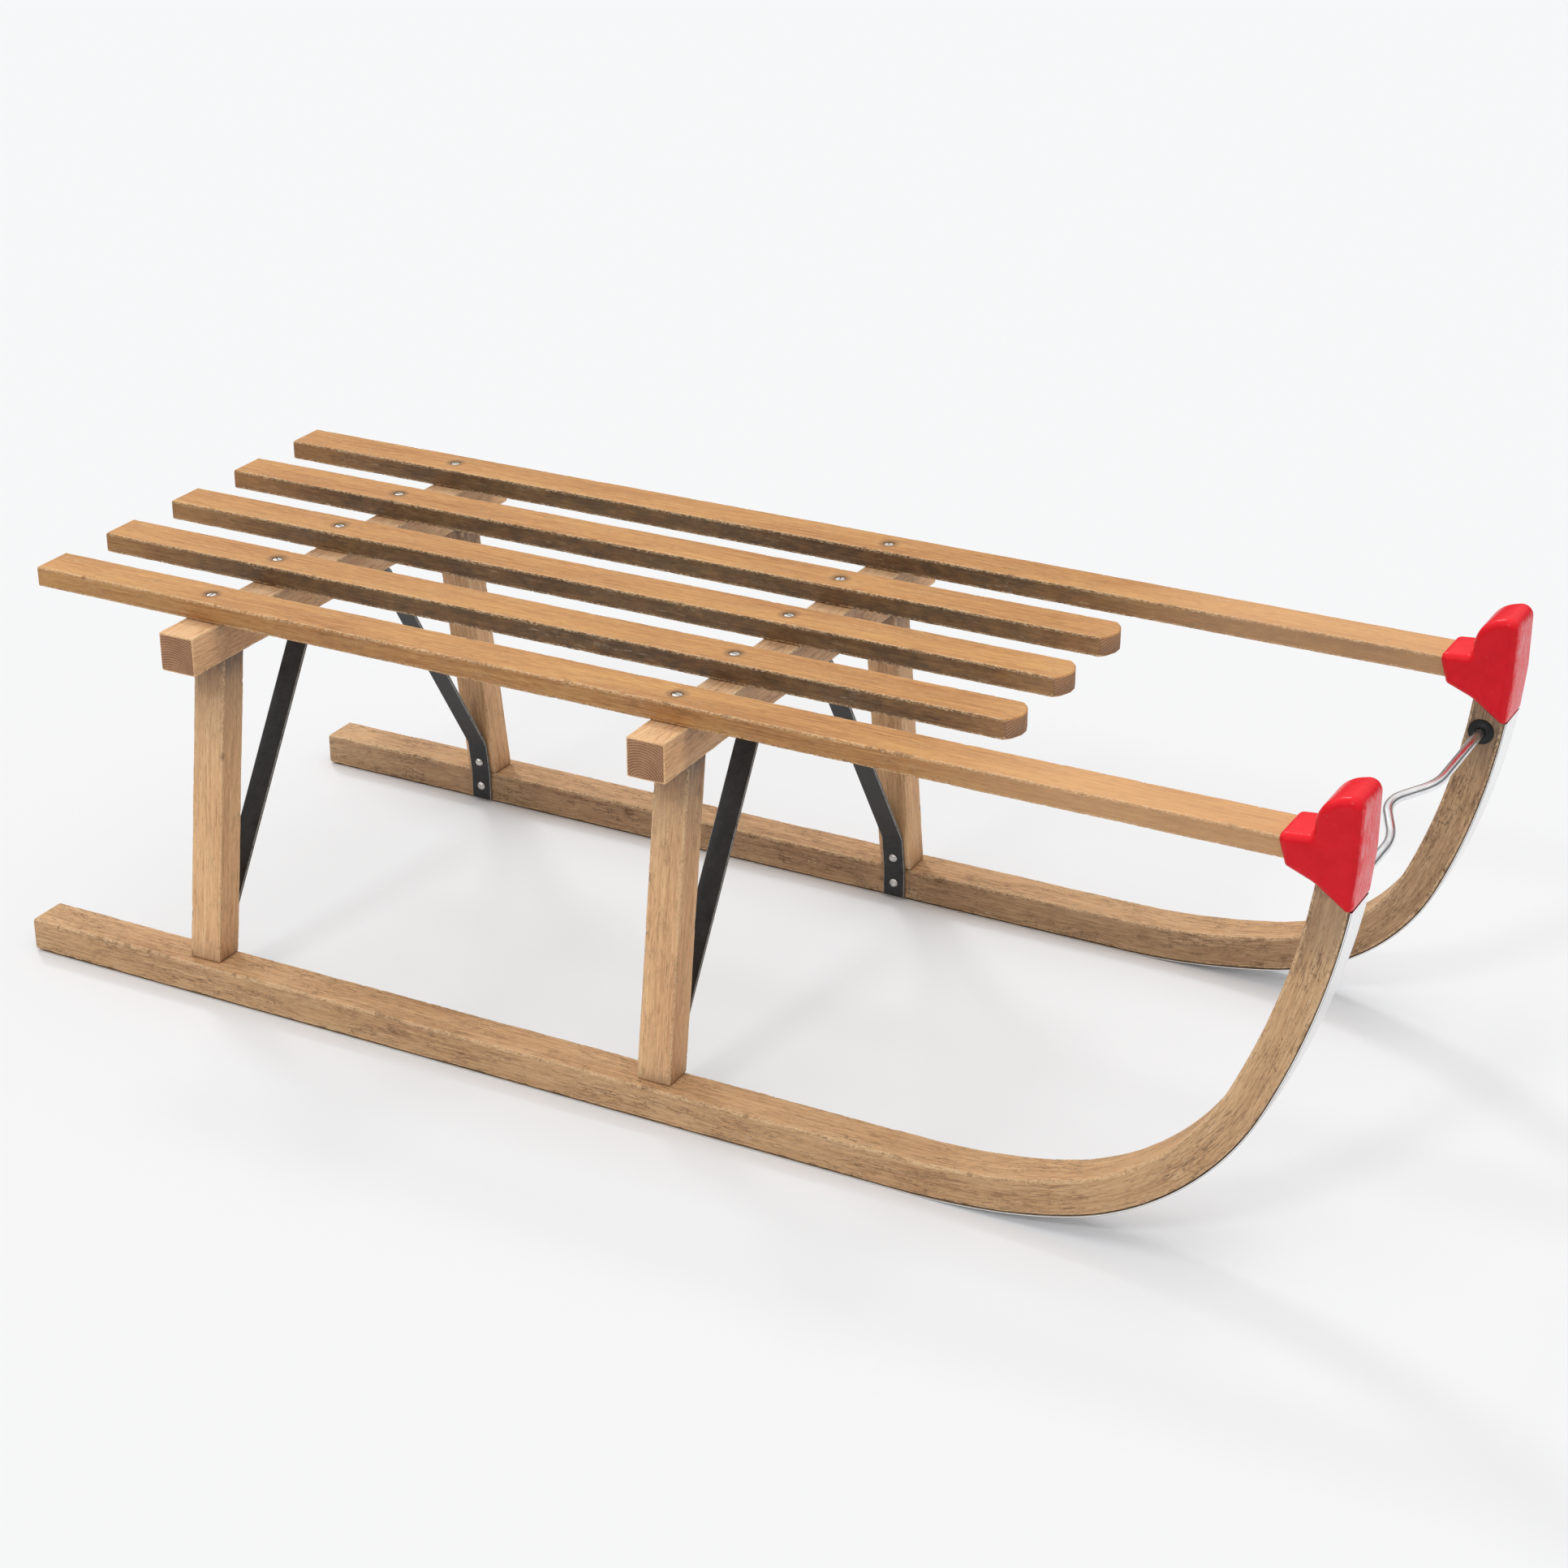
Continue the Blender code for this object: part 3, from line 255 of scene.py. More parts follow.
def ramp(factor, *stops):
    """A colour ramp of (place, hex colour) stops."""
    colour = output(factor.owner, "ShaderNodeValToRGB", "Color", {"Fac": factor})
    elements = colour.socket.node.color_ramp.elements
    while len(elements) < len(stops):
        elements.new(0.5)
    for element, (place, stop_colour) in zip(elements, stops):
        element.position = place
        element.color = linear(stop_colour)
    return colour


def axis(vector, letter):
    """One coordinate of a vector."""
    return output(vector.owner, "ShaderNodeSeparateXYZ", letter, {0: vector})


def stretched(vector, scale, turn=(0.0, 0.0, 0.0)):
    """Coordinates scaled along each axis, in repeats to the metre, and turned."""
    links = {"Vector": vector, "Scale": scale, "Rotation": turn}
    return output(vector.owner, "ShaderNodeMapping", 0, links)


def noise(vector, scale, detail=3.0, roughness=0.5, name="Fac"):
    """Noise of a scale, or of three scales along the axes."""
    if isinstance(scale, tuple):
        vector, scale = stretched(vector, scale), 1.0
    links = {"Vector": vector, "Scale": scale, "Detail": detail, "Roughness": roughness}
    return output(vector.owner, "ShaderNodeTexNoise", name, links)


def attribute(owner, name, socket="Fac"):
    """A value that the mesh carries."""
    return output(owner, "ShaderNodeAttribute", socket, attribute_name=name)


def object_place(owner):
    """The place on the object."""
    return output(owner, "ShaderNodeTexCoord", "Object")


# Materials


def new_material(name, **sockets):
    """A material, with plain values for some of its shader's sockets."""
    material = bpy.data.materials.new(name)
    material.use_nodes = True
    for socket, value in sockets.items():
        shader_of(material).inputs[socket.replace("_", " ")].default_value = value
    return material


def shader_of(material):
    """A material's shader."""
    return material.node_tree.nodes["Principled BSDF"]


def dressed(colour, roughness, height=None, strength=0.0, distance=0.0):
    """The material, with its colour, its roughness and relief from a height joined up."""
    shader = shader_of(colour.owner)
    colour.into(shader.inputs["Base Color"])
    roughness.into(shader.inputs["Roughness"])
    if height:
        links = {"Height": height, "Strength": strength, "Distance": distance}
        output(colour.owner, "ShaderNodeBump", 0, links).into(shader.inputs["Normal"])
    return colour.owner


def ash_wood(name, tones, grime, cracks, roughness, seat=False):
    """Ash under thin worn lacquer: streaks about 1 mm wide that wander with the timber, pale ray flecks,
    open pores as short dark dashes, rubbed arrises with pits in them, painted shade in a bluish grey
    where the piece's mesh asks for it, and growth rings 1.6 mm apart on the sawn ends."""
    wood = new_material(name, IOR=1.5, Specular_IOR_Level=0.3)
    grain = attribute(wood, "grain", "Vector")
    sway = vector_sum("SUBTRACT", noise(grain, (10, 60, 60), name="Color"), (0.5, 0.5, 0.5))
    bent = vector_sum("ADD", grain, vector_sum("MULTIPLY", sway, (0.0, 0.006, 0.006)))
    streak = noise(bent, (18, 800, 800), 5.0, 0.65)
    dash = noise(bent, (130, 1100, 1100), 2.0)
    broad = noise(grain, (6, 45, 45))
    tone = remap(streak * 0.55 + dash * 0.25 + broad * 0.30, 0.44, 0.67)
    colour = ramp(tone, *zip((0.0, 0.5, 1.0), tones))
    patch = noise(grain, (22, 70, 70), 4.0, 0.65)
    fleck = remap(dash, 0.56, 0.66) * remap(patch, 0.48, 0.62)
    colour = mix(fleck * 0.45, colour, "EBC795")
    pore = remap(noise(bent, (120, 1500, 1500), 2.0), 0.60, 0.70)
    colour = mix(pore * 0.40, colour, "7B5432")

    # Checks run with the grain where a noise is near 0.5, grime lies in blotches, scuffs run across
    # The mesh carries painted shade; grime is laid on more thickly where that painted shade lies
    painted_shade_mask = attribute(wood, "painted_shade")
    grime = remap(painted_shade_mask, 0.0, 0.25, grime * 0.55, grime)
    away = calc("ABSOLUTE", noise(bent, (45, 520, 520), 4.0, 0.65) - 0.5)
    crack = remap(away, 0.0, 0.026, 1.0, 0.0) * remap(patch, 0.40, 0.58) * cracks
    colour = mix(crack, colour, "5E4330")
    spread = noise(grain, (60, 130, 130), 7.0, 0.78)
    dirt = remap(spread, 0.53, 0.66) * remap(broad, 0.44, 0.58)
    colour = mix(dirt * grime, colour, "7A5439")
    across = noise(grain, (700, 120, 120), 3.0, 0.6)
    scuff = remap(across, 0.60, 0.68) * remap(patch, 0.52, 0.64)
    colour = mix(scuff * grime, colour, "664A36")

    # Growth rings and open pores on the sawn ends
    end = attribute(wood, "end")
    links = {"Vector": stretched(grain, (0.06, 1, 1)), "Scale": 190.0, "Distortion": 0.9}
    links |= {"Detail": 2.0, "Detail Scale": 0.25}
    rings = output(wood, "ShaderNodeTexWave", "Fac", links, wave_type="RINGS", rings_direction="X")
    end_tone = rings * 0.36 + noise(grain, (1, 1400, 1400), 2.0) * 0.45 + patch * 0.50
    colour = mix(end, colour, ramp(end_tone, *zip((0.40, 0.62, 0.84), END_TONES)))

    # Painted shade (bluish grey, multiplied in), then rubbed arrises, pits where they are bruised, and
    # pale rubs
    painted_shade = painted_shade_mask * remap(spread, 0.38, 0.62, 0.86, 1.10)
    colour = mix(calc("MINIMUM", painted_shade, 1.0), colour, "808BA6", "MULTIPLY")
    jagged = noise(grain, (500, 1100, 1100), 3.0, 0.6)
    rubbed = remap(attribute(wood, "arris"), 0.70, 1.0) * remap(jagged, 0.45, 0.56)
    colour = mix(rubbed * 0.55, colour, "EFD0A6")
    chipped = noise(grain, (300, 800, 800), 4.0, 0.7)
    pit = remap(attribute(wood, "damage") + chipped * 1.6, 1.38, 1.62)
    colour = mix(pit * 0.40, colour, "6F4F36")
    rub = remap(noise(grain, (90, 420, 420), 6.0, 0.75), 0.56, 0.66) * remap(patch, 0.50, 0.62)
    colour = mix(rub * grime, colour, "DCC3A3")
    if seat:
        colour = seat_light_and_stains(colour, chipped)
    rough = calc("ADD", streak * 0.25 + pit * 0.25 + end * 0.15, roughness, clamp=True)
    height = streak * 0.5 + dash * 0.3 + crack * -0.8 + pit * -0.8 + pore * -0.3
    return dressed(colour, rough, height, 0.45, 0.0005)


def seat_light_and_stains(colour, chipped):
    """The seat's colour, paler towards the front as painted light, with a dark ring of ragged stain
    round each screw.
    """
    place = object_place(colour.owner)
    x = axis(place, "X")
    # Painted light: the tops grow paler towards the front, clear of the seat's painted shade
    colour = mix(remap(x, SEAT_FRONT - 0.04, SEAT_FRONT + 0.06, 0.0, 0.33), colour, "FFCB99")
    ahead, behind = (calc("ABSOLUTE", x - screw_x) for screw_x in (FRONT_X, REAR_X))
    along = calc("MINIMUM", ahead, behind)
    beside = calc("PINGPONG", axis(place, "Y"), SLAT_PITCH / 2)
    reach = calc("SQRT", along * along + beside * beside)
    return mix(remap(reach + chipped * -0.0045, 0.0006, 0.0058, 0.72, 0.0), colour, "4A3828")


def red_polyethylene():
    """Moulded polyethylene: saturated red with a soft sheen, a little mottled, with painted light on
    faces that look up or forward, and pale rubs in slanting streaks on the face that meets walls first."""
    plastic = new_material("moulded_red_polyethylene", IOR=1.5, Specular_IOR_Level=0.14)
    place = object_place(plastic)
    cloudy = noise(place, 90.0, 5.0, 0.65)
    normal = output(plastic, "ShaderNodeNewGeometry", "Normal")
    ahead = remap(axis(normal, "X"), 0.75, 0.98)
    # Painted light: a brighter red on faces that look up or forward, a darker, shaded red on the others
    painted_light = calc("MAXIMUM", remap(axis(normal, "Z"), 0.1, 0.8), ahead)
    shaded = ramp(cloudy, (0.3, "D51723"), (0.7, "E21D2A"))
    sunny = ramp(cloudy, (0.3, "F8202C"), (0.7, "FF2A36"))
    colour = mix(painted_light, shaded, sunny)
    streaks = noise(stretched(place, (90, 420, 130), (0.6, 0.0, 0.0)), 1.0, 5.0, 0.7)
    rub = remap(streaks, 0.42, 0.66) * ahead
    stray = remap(noise(place, 260.0, 5.0, 0.75), 0.62, 0.80)
    colour = mix(rub * 0.60 + stray * 0.12, colour, "FFC9CB")
    height = noise(place, 900.0, 3.0, 0.6) * 0.10 + noise(place, 120.0) + rub * -0.2
    return dressed(colour, remap(rub + stray, 0.0, 1.0, 0.26, 0.48), height, 0.30, 0.0008)


def painted_iron():
    """Band iron under matt black paint, cloudy with dust, rubbed to grey along its arrises."""
    paint = new_material("painted_band_iron", IOR=1.5, Specular_IOR_Level=0.4)
    place = object_place(paint)
    cloudy = noise(place, 110.0, 6.0, 0.75)
    worn = remap(noise(place, 300.0, 4.0, 0.7), 0.28, 0.50)
    bare = remap(attribute(paint, "arris"), 0.3, 0.9) * worn
    colour = mix(bare * 0.80, ramp(cloudy, (0.32, "1C1C1D"), (0.68, "3B3B3C")), "B2B0AA")
    return dressed(colour, remap(cloudy, 0.3, 0.7, 0.38, 0.60), cloudy, 0.35, 0.0006)


def polished_steel():
    """Steel strip polished by the snow: near white, with faint streaks and dull, dirty edges."""
    steel = new_material("polished_steel_strip", Metallic=1.0)
    streak = noise(attribute(steel, "grain", "Vector"), (10, 900, 900), 4.0, 0.6)
    edge = remap(attribute(steel, "arris"), 0.7, 0.95)
    colour = mix(edge * 0.85, ramp(streak, (0.3, "EDECEB"), (0.7, "FDFDFC")), "6B6763")
    return dressed(colour, remap(streak, 0.3, 0.7, 0.36, 0.24), streak, 0.08, 0.0003)


def chrome():
    """Chromium plate on a bent rod: a clear mirror with a few dull patches."""
    plate = new_material("chromed_rod", Metallic=1.0)
    patch = noise(object_place(plate), 120.0, 3.0, 0.6)
    colour = ramp(patch, (0.3, "E2E2E3"), (0.7, "F4F4F5"))
    return dressed(colour, remap(patch, 0.3, 0.7, 0.30, 0.21))


def black_rubber():
    """Moulded rubber: matt, almost black, a little dusty."""
    rubber = new_material("moulded_rubber", IOR=1.5, Specular_IOR_Level=0.4)
    dust = noise(object_place(rubber), 500.0, 3.0, 0.6)
    colour = ramp(dust, (0.35, "0B0B0C"), (0.75, "1D1D1D"))
    return dressed(colour, remap(dust, 0.3, 0.7, 0.45, 0.70), dust, 0.2, 0.0002)


def zinc_plate():
    """Bright zinc plate on screws, dulled in spots."""
    plate = new_material("zinc_plate", Metallic=1.0)
    dull = noise(object_place(plate), 900.0, 3.0, 0.6)
    colour = ramp(dull, (0.3, "BDBBB7"), (0.65, "F4F3F1"))
    return dressed(colour, remap(dull, 0.3, 0.7, 0.42, 0.25))


# Meshes from arrays


def add_object(name, data):
    """A new object in the scene."""
    added = bpy.data.objects.new(name, data)
    bpy.context.scene.collection.objects.link(added)
    return added


def mesh_piece(name, points, faces, material=None):
    """An object at the origin with its place in its mesh, smooth except at sharp edges."""
    mesh = bpy.data.meshes.new(name)
    mesh.from_pydata(points, [], faces)
    if material:
        mesh.materials.append(material)
    mesh.shade_smooth()
    mesh.set_sharp_from_angle(angle=SHARP)
    return add_object(name, mesh)


def give(piece, name, values):
    """Store numbers or vectors on a piece, one for each corner of each face."""
    flat = np.asarray(values, np.float32)
    vector = flat.ndim == 2
    layer = piece.data.attributes.new(name, "FLOAT_VECTOR" if vector else "FLOAT", "CORNER")
    layer.data.foreach_set("vector" if vector else "value", flat.ravel())


def points_of(piece):
    """A piece's points (count, 3)."""
    points = np.empty(len(piece.data.vertices) * 3)
    piece.data.vertices.foreach_get("co", points)
    return points.reshape(-1, 3)


def skin(rings, sides, closed=False):
    """Quads (count, 4) of a grid of rings, each ring closed; closed joins the last ring to the first."""
    ring, side = np.meshgrid(np.arange(rings if closed else rings - 1), np.arange(sides), indexing="ij")
    after, above = (side + 1) % sides, (ring + 1) % rings
    corners = (ring * sides + side, ring * sides + after, above * sides + after, above * sides + side)
    return np.stack(corners, -1).reshape(-1, 4)


def ladder(sides, first, flip):
    """Faces across one ring: a point is joined to its mirror image, and each flat end is one face."""
    stops = [0, *range(3, sides // 2 - 3), sides // 2 - 1]
    faces = []
    for start, stop in zip(stops, stops[1:]):
        face = [*range(start, stop + 1), *range(sides - 1 - stop, sides - start)]
        faces.append([index + first for index in (face[::-1] if flip else face)])
    return faces


def end_faces(rings, sides):
    """The first and last ring as two faces, the first one turned to face back."""
    return [list(range(sides))[::-1], list(range((rings - 1) * sides, rings * sides))]


def swept(name, ring, path, faces, material, shift=(0.0, 0.0, 0.0), **values):
    """A piece of rings (stations, sides, 2) of (u, v) carried along a path of (origin, across, up, run).

    Each corner of a face carries its point's values, and as its grain (run, u, v) with a shift.
    """
    origin, across, up, run = (part[:, None] for part in path)
    points = origin + across * ring[..., :1] + up * ring[..., 1:]
    piece = mesh_piece(name, points.reshape(-1, 3), faces, material)
    corners = np.concatenate([np.array(face) for face in faces])
    grain = np.insert(ring, 0, run, axis=2) + shift
    give(piece, "grain", grain.reshape(-1, 3)[corners])
    for key, value in values.items():
        give(piece, key, np.broadcast_to(value, ring.shape[:2]).ravel()[corners])
    return piece


def bite(piece, cutter):
    """Cut one closed piece out of another and throw the cutter away."""
    modifier = piece.modifiers.new("cut", "BOOLEAN")
    modifier.operation = "DIFFERENCE"
    modifier.solver = "EXACT"
    modifier.object = cutter
    mesh = bpy.data.meshes.new_from_object(piece.evaluated_get(bpy.context.evaluated_depsgraph_get()))
    piece.modifiers.clear()
    piece.data = mesh
    mesh.set_sharp_from_angle(angle=SHARP)
    bpy.data.objects.remove(cutter, do_unlink=True)


def stand_for(piece, node, body=SLED):
    """A finished piece rides on its body in place of a CAD piece."""
    piece.data.name = piece.name
    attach(piece, body)
    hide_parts(node)


# Timber: a rectangle with worn arrises carried along a path


def wander(run, reach):
    """A smooth random line of about -1 to 1: four cosines, the shortest of twice the reach."""
    line = np.zeros(len(run))
    for octave in range(4):
        length = reach * 2.0 ** (4 - octave) * chance.uniform(0.8, 1.25)
        shift = chance.uniform(0, 2 * math.pi)
        line += np.cos(run * (2 * math.pi / length) + shift) * 0.75 ** octave
    return line / 2.2


def bruises(run, count):
    """Where an arris is bruised, 0 to 1: the greatest of some soft humps of random place and length."""
    hurt = np.zeros(len(run))
    for _ in range(count):
        place = chance.uniform(run[0], run[-1])
        half = 0.0008 + 0.0060 * chance.uniform(0, 1) ** 3
        strength = chance.uniform(0.3, 1.0) ** 1.5
        hurt = np.maximum(hurt, np.clip(1 - ((run - place) / half) ** 2, 0, 1) * strength)
    return hurt


def section_points(half_u, half_v, radius):
    """Rings (stations, sides, 2) of a rectangle whose four arris radii change along it.

    The points start on the +u face just above v = 0 and run anticlockwise, so that point k and point
    -1 - k mirror each other. Returns the rings and, per point, its corner, how near its arris it is and
    how much it faces sideways: the cosine of its place on the arc.
    """
    near, inner, spacing = 0.0026, 0.0046, 0.0035
    inner_u = np.linspace(half_u - inner, inner - half_u, max(2, int(half_u / spacing)))
    face_u = (half_u - near, *inner_u, near - half_u)
    face_v = np.array((half_v * 0.3, half_v - near))
    turn = np.linspace(0, math.pi / 2, 5)
    ones = np.ones((len(radius), 1))
    halves = []
    for corners in ((0, 1), (3, 2)):
        right, left = (radius[:, [corner]] for corner in corners)
        u = [ones * (half_u, half_u), half_u - right * (1 - np.cos(turn)), ones * face_u]
        u += [left * (1 - np.sin(turn)) - half_u, ones * (-half_u, -half_u)]
        v = [ones * face_v, half_v - right * (1 - np.sin(turn)), ones * np.full(len(face_u), half_v)]
        v += [half_v - left * (1 - np.cos(turn)), ones * face_v[::-1]]
        halves.append(np.stack((np.concatenate(u, 1), np.concatenate(v, 1)), -1))
    middle = len(inner_u)
    corner = np.array([-1] + [0] * 7 + [-1] * middle + [1] * 7 + [-1])
    close = np.array([0, 0.4] + [1] * 5 + [0.4] + [0] * middle + [0.4] + [1] * 5 + [0.4, 0])
    sideways = np.concatenate(((1, 1), np.cos(turn), np.zeros(middle + 2), np.sin(turn), (1, 1)))
    corner = np.append(corner, np.where(corner < 0, -1, 3 - corner)[::-1])
    close, sideways = (np.append(values, values[::-1]) for values in (close, sideways))
    return np.concatenate((halves[0], halves[1][:, ::-1] * (1, -1)), 1), corner, close, sideways


def timber(name, path, half, material, painted_shade, wear=90, edge=0.0010, depth=0.0008, along=0.0):
    """A length of timber: a worn rectangle carried along a path of (origin, across, up, run).

    An arris is a quarter circle whose radius wanders by a third, and grows in jagged steps where the
    arris is bruised: wear counts the bruises in a metre and depth says how far they reach. The last
    rings at each end are drawn in on a quarter circle to ease it. half is half the section's width and
    height, the function after the material gives the painted shade at (run, u, v, 1 on a side face),
    along shifts the grain.
    """
    run = path[3]
    hurt = np.stack([bruises(run, int(wear * (run[-1] - run[0]))) for _ in range(4)], 1)
    jag = chance.uniform(0.2, 1.0, hurt.shape) ** 2
    radius = edge * (1 + 0.35 * np.stack([wander(run, 0.008) for _ in range(4)], 1))
    radius = np.clip(radius + hurt * jag * depth * 1.5, 0.0004, 0.0022)
    ring, corner, close, sideways = section_points(*half, radius)
    inset = np.zeros(len(run))
    step = np.arange(3)
    inset[step] = inset[-1 - step] = edge * (1 - np.sin(math.pi / 6 * step))
    ring = ring - np.sign(ring) * np.minimum(inset[:, None, None], np.abs(ring))
    stations, sides = ring.shape[:2]
    walls = skin(stations, sides).tolist()
    caps = ladder(sides, 0, True) + ladder(sides, (stations - 1) * sides, False)
    shift = (along, chance.uniform(-0.004, 0.004), chance.uniform(0.012, 0.030))
    values = {"damage": np.where(corner >= 0, hurt[:, corner] * close, 0.0)}
    # Painted shade at each point, worked out by the piece's own function
    values["painted_shade"] = painted_shade(run[:, None], ring[..., 0], ring[..., 1], rise(sideways, 0.35, 0.95))
    piece = swept(name, ring, path, walls + caps, material, shift, **values)
    in_cap = np.arange(len(piece.data.loops)) >= 4 * len(walls)
    give(piece, "end", in_cap)
    arris = np.broadcast_to(close, (stations, sides)).ravel()[np.array(walls).ravel()]
    give(piece, "arris", np.append(arris, np.zeros(in_cap.sum())))
    return piece


def rise(value, low, high):
    """0 below low, 1 above high, and a smooth step t * t * (3 - 2 * t) between them."""
    share = np.clip((value - low) / (high - low), 0, 1)
    return share * share * (3 - 2 * share)


def eased(first, last, spacing, edge=0.0010):
    """Stations from first to last, four close together where each end's arris is rounded."""
    steps = np.array([edge * (1 - math.cos(math.pi / 2 * k / 3)) for k in range(4)])
    middle = np.arange(first + 2 * edge, last - 1.5 * edge, spacing)
    return np.concatenate((first + steps, middle, last - steps[::-1]))


def straight_path(start, direction, across, up, first, last):
    """Path of a straight piece: start plus direction times the run, which goes from first to last."""
    run = eased(first, last, STATION)
    ones = np.ones((len(run), 1))
    return np.array(start) + np.outer(run, direction), ones * np.array(across), ones * np.array(up), run


# The runner's own line


def bend_segments():
    """The arcs of the bend, each (run at its start, centre x, centre z, radius, lean at its start), and
    the run at the horn's top."""
    x, z, lean, run = RUNNER_FLAT, RUNNER_AXIS, 0.0, RUNNER_FLAT
    arcs = []
    for radius, last in BENDS:
        centre_x = x - radius * math.sin(lean)
        centre_z = z + radius * math.cos(lean)
        if last is None:
            last = math.acos((centre_z - HORN_TOP) / radius)
        arcs.append((run, centre_x, centre_z, radius, lean))
        run += radius * (last - lean)
        x = centre_x + radius * math.sin(last)
        z = centre_z - radius * math.cos(last)
        lean = last
    return arcs, run


ARCS, RUN_END = bend_segments()


def runner_path(run, side):
    """The runner's path at each run: straight, then along the arcs, moving in as it climbs.

    Near the horn's top the section leans over, up minus a share of the way times cos / sin of the lean,
    until it is level there.
    """
    x, z, lean = run.copy(), np.full(len(run), RUNNER_AXIS), np.zeros(len(run))
    for start, centre_x, centre_z, radius, first in ARCS:
        on = run >= start
        angle = first + (run - start) / radius
        x = np.where(on, centre_x + radius * np.sin(angle), x)
        z = np.where(on, centre_z - radius * np.cos(angle), z)
        lean = np.where(on, angle, lean)
    share = rise(run, RUNNER_FLAT + TOE_START, RUN_END)
    y = side * (RUNNER_Y - (RUNNER_Y - 2 * SLAT_PITCH) * share)
    flat = np.zeros(len(run))
    up = np.stack((-np.sin(lean), flat, np.cos(lean)), 1)
    going = np.stack((np.cos(lean), flat, np.sin(lean)), 1)
    level = rise(run, RUN_END - LEVELLING, RUN_END) * np.cos(lean) / np.maximum(np.sin(lean), 0.1)
    across = np.tile((0.0, 1.0, 0.0), (len(run), 1))
    return np.stack((x + REAR_X, y, z), 1), across, up - going * level[:, None], run


def run_at_height(height):
    """The run at which the horn's centre line reaches a height."""
    start, _, centre_z, radius, first = ARCS[-1]
    return start + radius * (math.acos((centre_z - height) / radius) - first)


# Camera, floor and light


def turns(*steps):
    """Turns of (degrees, axis letter), each inside the one before."""
    turn = Matrix.Identity(4)
    for angle, letter in steps:
        turn = turn @ Matrix.Rotation(math.radians(angle), 4, letter)
    return turn


def add_camera():
    """The photograph's camera, solved from its straight lines."""
    data = bpy.data.cameras.new("camera")
    data.lens = 74.77
    data.sensor_width = 36.0
    data.clip_start = 0.01
    data.clip_end = 100.0
    camera = add_object("camera", data)
    camera.location = (1.214750 + REAR_X, -1.64870, 1.02417)
    camera.rotation_euler = turns((28.133, "Z"), (64.936, "X"), (-0.112, "Z")).to_euler()
    bpy.context.scene.camera = camera


def is_ray(owner, kind):
    """1 for one kind of ray, 0 for the others."""
    return output(owner, "ShaderNodeLightPath", f"Is {kind} Ray")


def add_floor():
    """A plain pale floor that keeps a light shadow: part of what the camera sees of it is plain white,
    except close to the object.

    What mirrors see of it grows darker with distance, like a table top that ends.
    """
    floor = new_material("studio_floor", Roughness=1.0, Specular_IOR_Level=0.0)
    shader = shader_of(floor)
    far = output(floor, "ShaderNodeVectorMath", "Value", {0: object_place(floor)}, operation="LENGTH")
    dim = remap(far, 0.9, 4.0) * is_ray(floor, "Glossy")
    mix(dim, "F6F7F9", "4A4A4A").into(shader.inputs["Base Color"])
    white = output(floor, "ShaderNodeEmission", 0, {"Color": "FFFFFF", "Strength": WHITE})
    open_sky = output(floor, "ShaderNodeAmbientOcclusion", "AO", {"Distance": 0.07}, samples=6)
    lift = remap(open_sky, 0.58, 0.98, 0.0, 0.52) * is_ray(floor, "Camera")
    both = {0: lift, 1: Wire(floor, shader.outputs[0]), 2: white}
    surface = floor.node_tree.nodes["Material Output"].inputs["Surface"]
    output(floor, "ShaderNodeMixShader", 0, both).into(surface)
    size = 30.0
    points = [(-size, -size, 0), (size, -size, 0), (size, size, 0), (-size, size, 0)]
    mesh_piece("floor", points, [(0, 1, 2, 3)], floor)


def add_light():
    """A white room that is brightest overhead, and distant soft lamps.

    What mirrors see of the room is darker towards the horizon, as with flags set round a studio table.
    """
    world = bpy.data.worlds.new("studio")
    bpy.context.scene.world = world
    world.use_nodes = True
    back = world.node_tree.nodes["Background"]
    back.inputs["Color"].default_value = linear("FFFFFF")
    height = axis(output(world, "ShaderNodeTexCoord", "Generated"), "Z")
    room = remap(height, 0.0, 1.0, 0.12, 0.80)
    mirrored = remap(height, 0.15, 0.50, 0.06, 1.0)
    shares = {0: is_ray(world, "Glossy"), 2: room, 3: mirrored}
    strength = output(world, "ShaderNodeMix", 0, shares)
    seen = calc("MAXIMUM", is_ray(world, "Camera"), is_ray(world, "Transmission"))
    shares = {0: seen, 2: strength, 3: WHITE}
    output(world, "ShaderNodeMix", 0, shares).into(back.inputs["Strength"])
    for name, energy, width, azimuth, elevation in LAMPS:
        data = bpy.data.lights.new(name, "SUN")
        data.energy = energy
        data.angle = math.radians(width)
        way = turns((azimuth, "Z"), (90 - elevation, "Y"))
        add_object(name, data).rotation_euler = way.to_euler()
    bpy.context.scene.view_settings.view_transform = "Standard"


# Wooden pieces


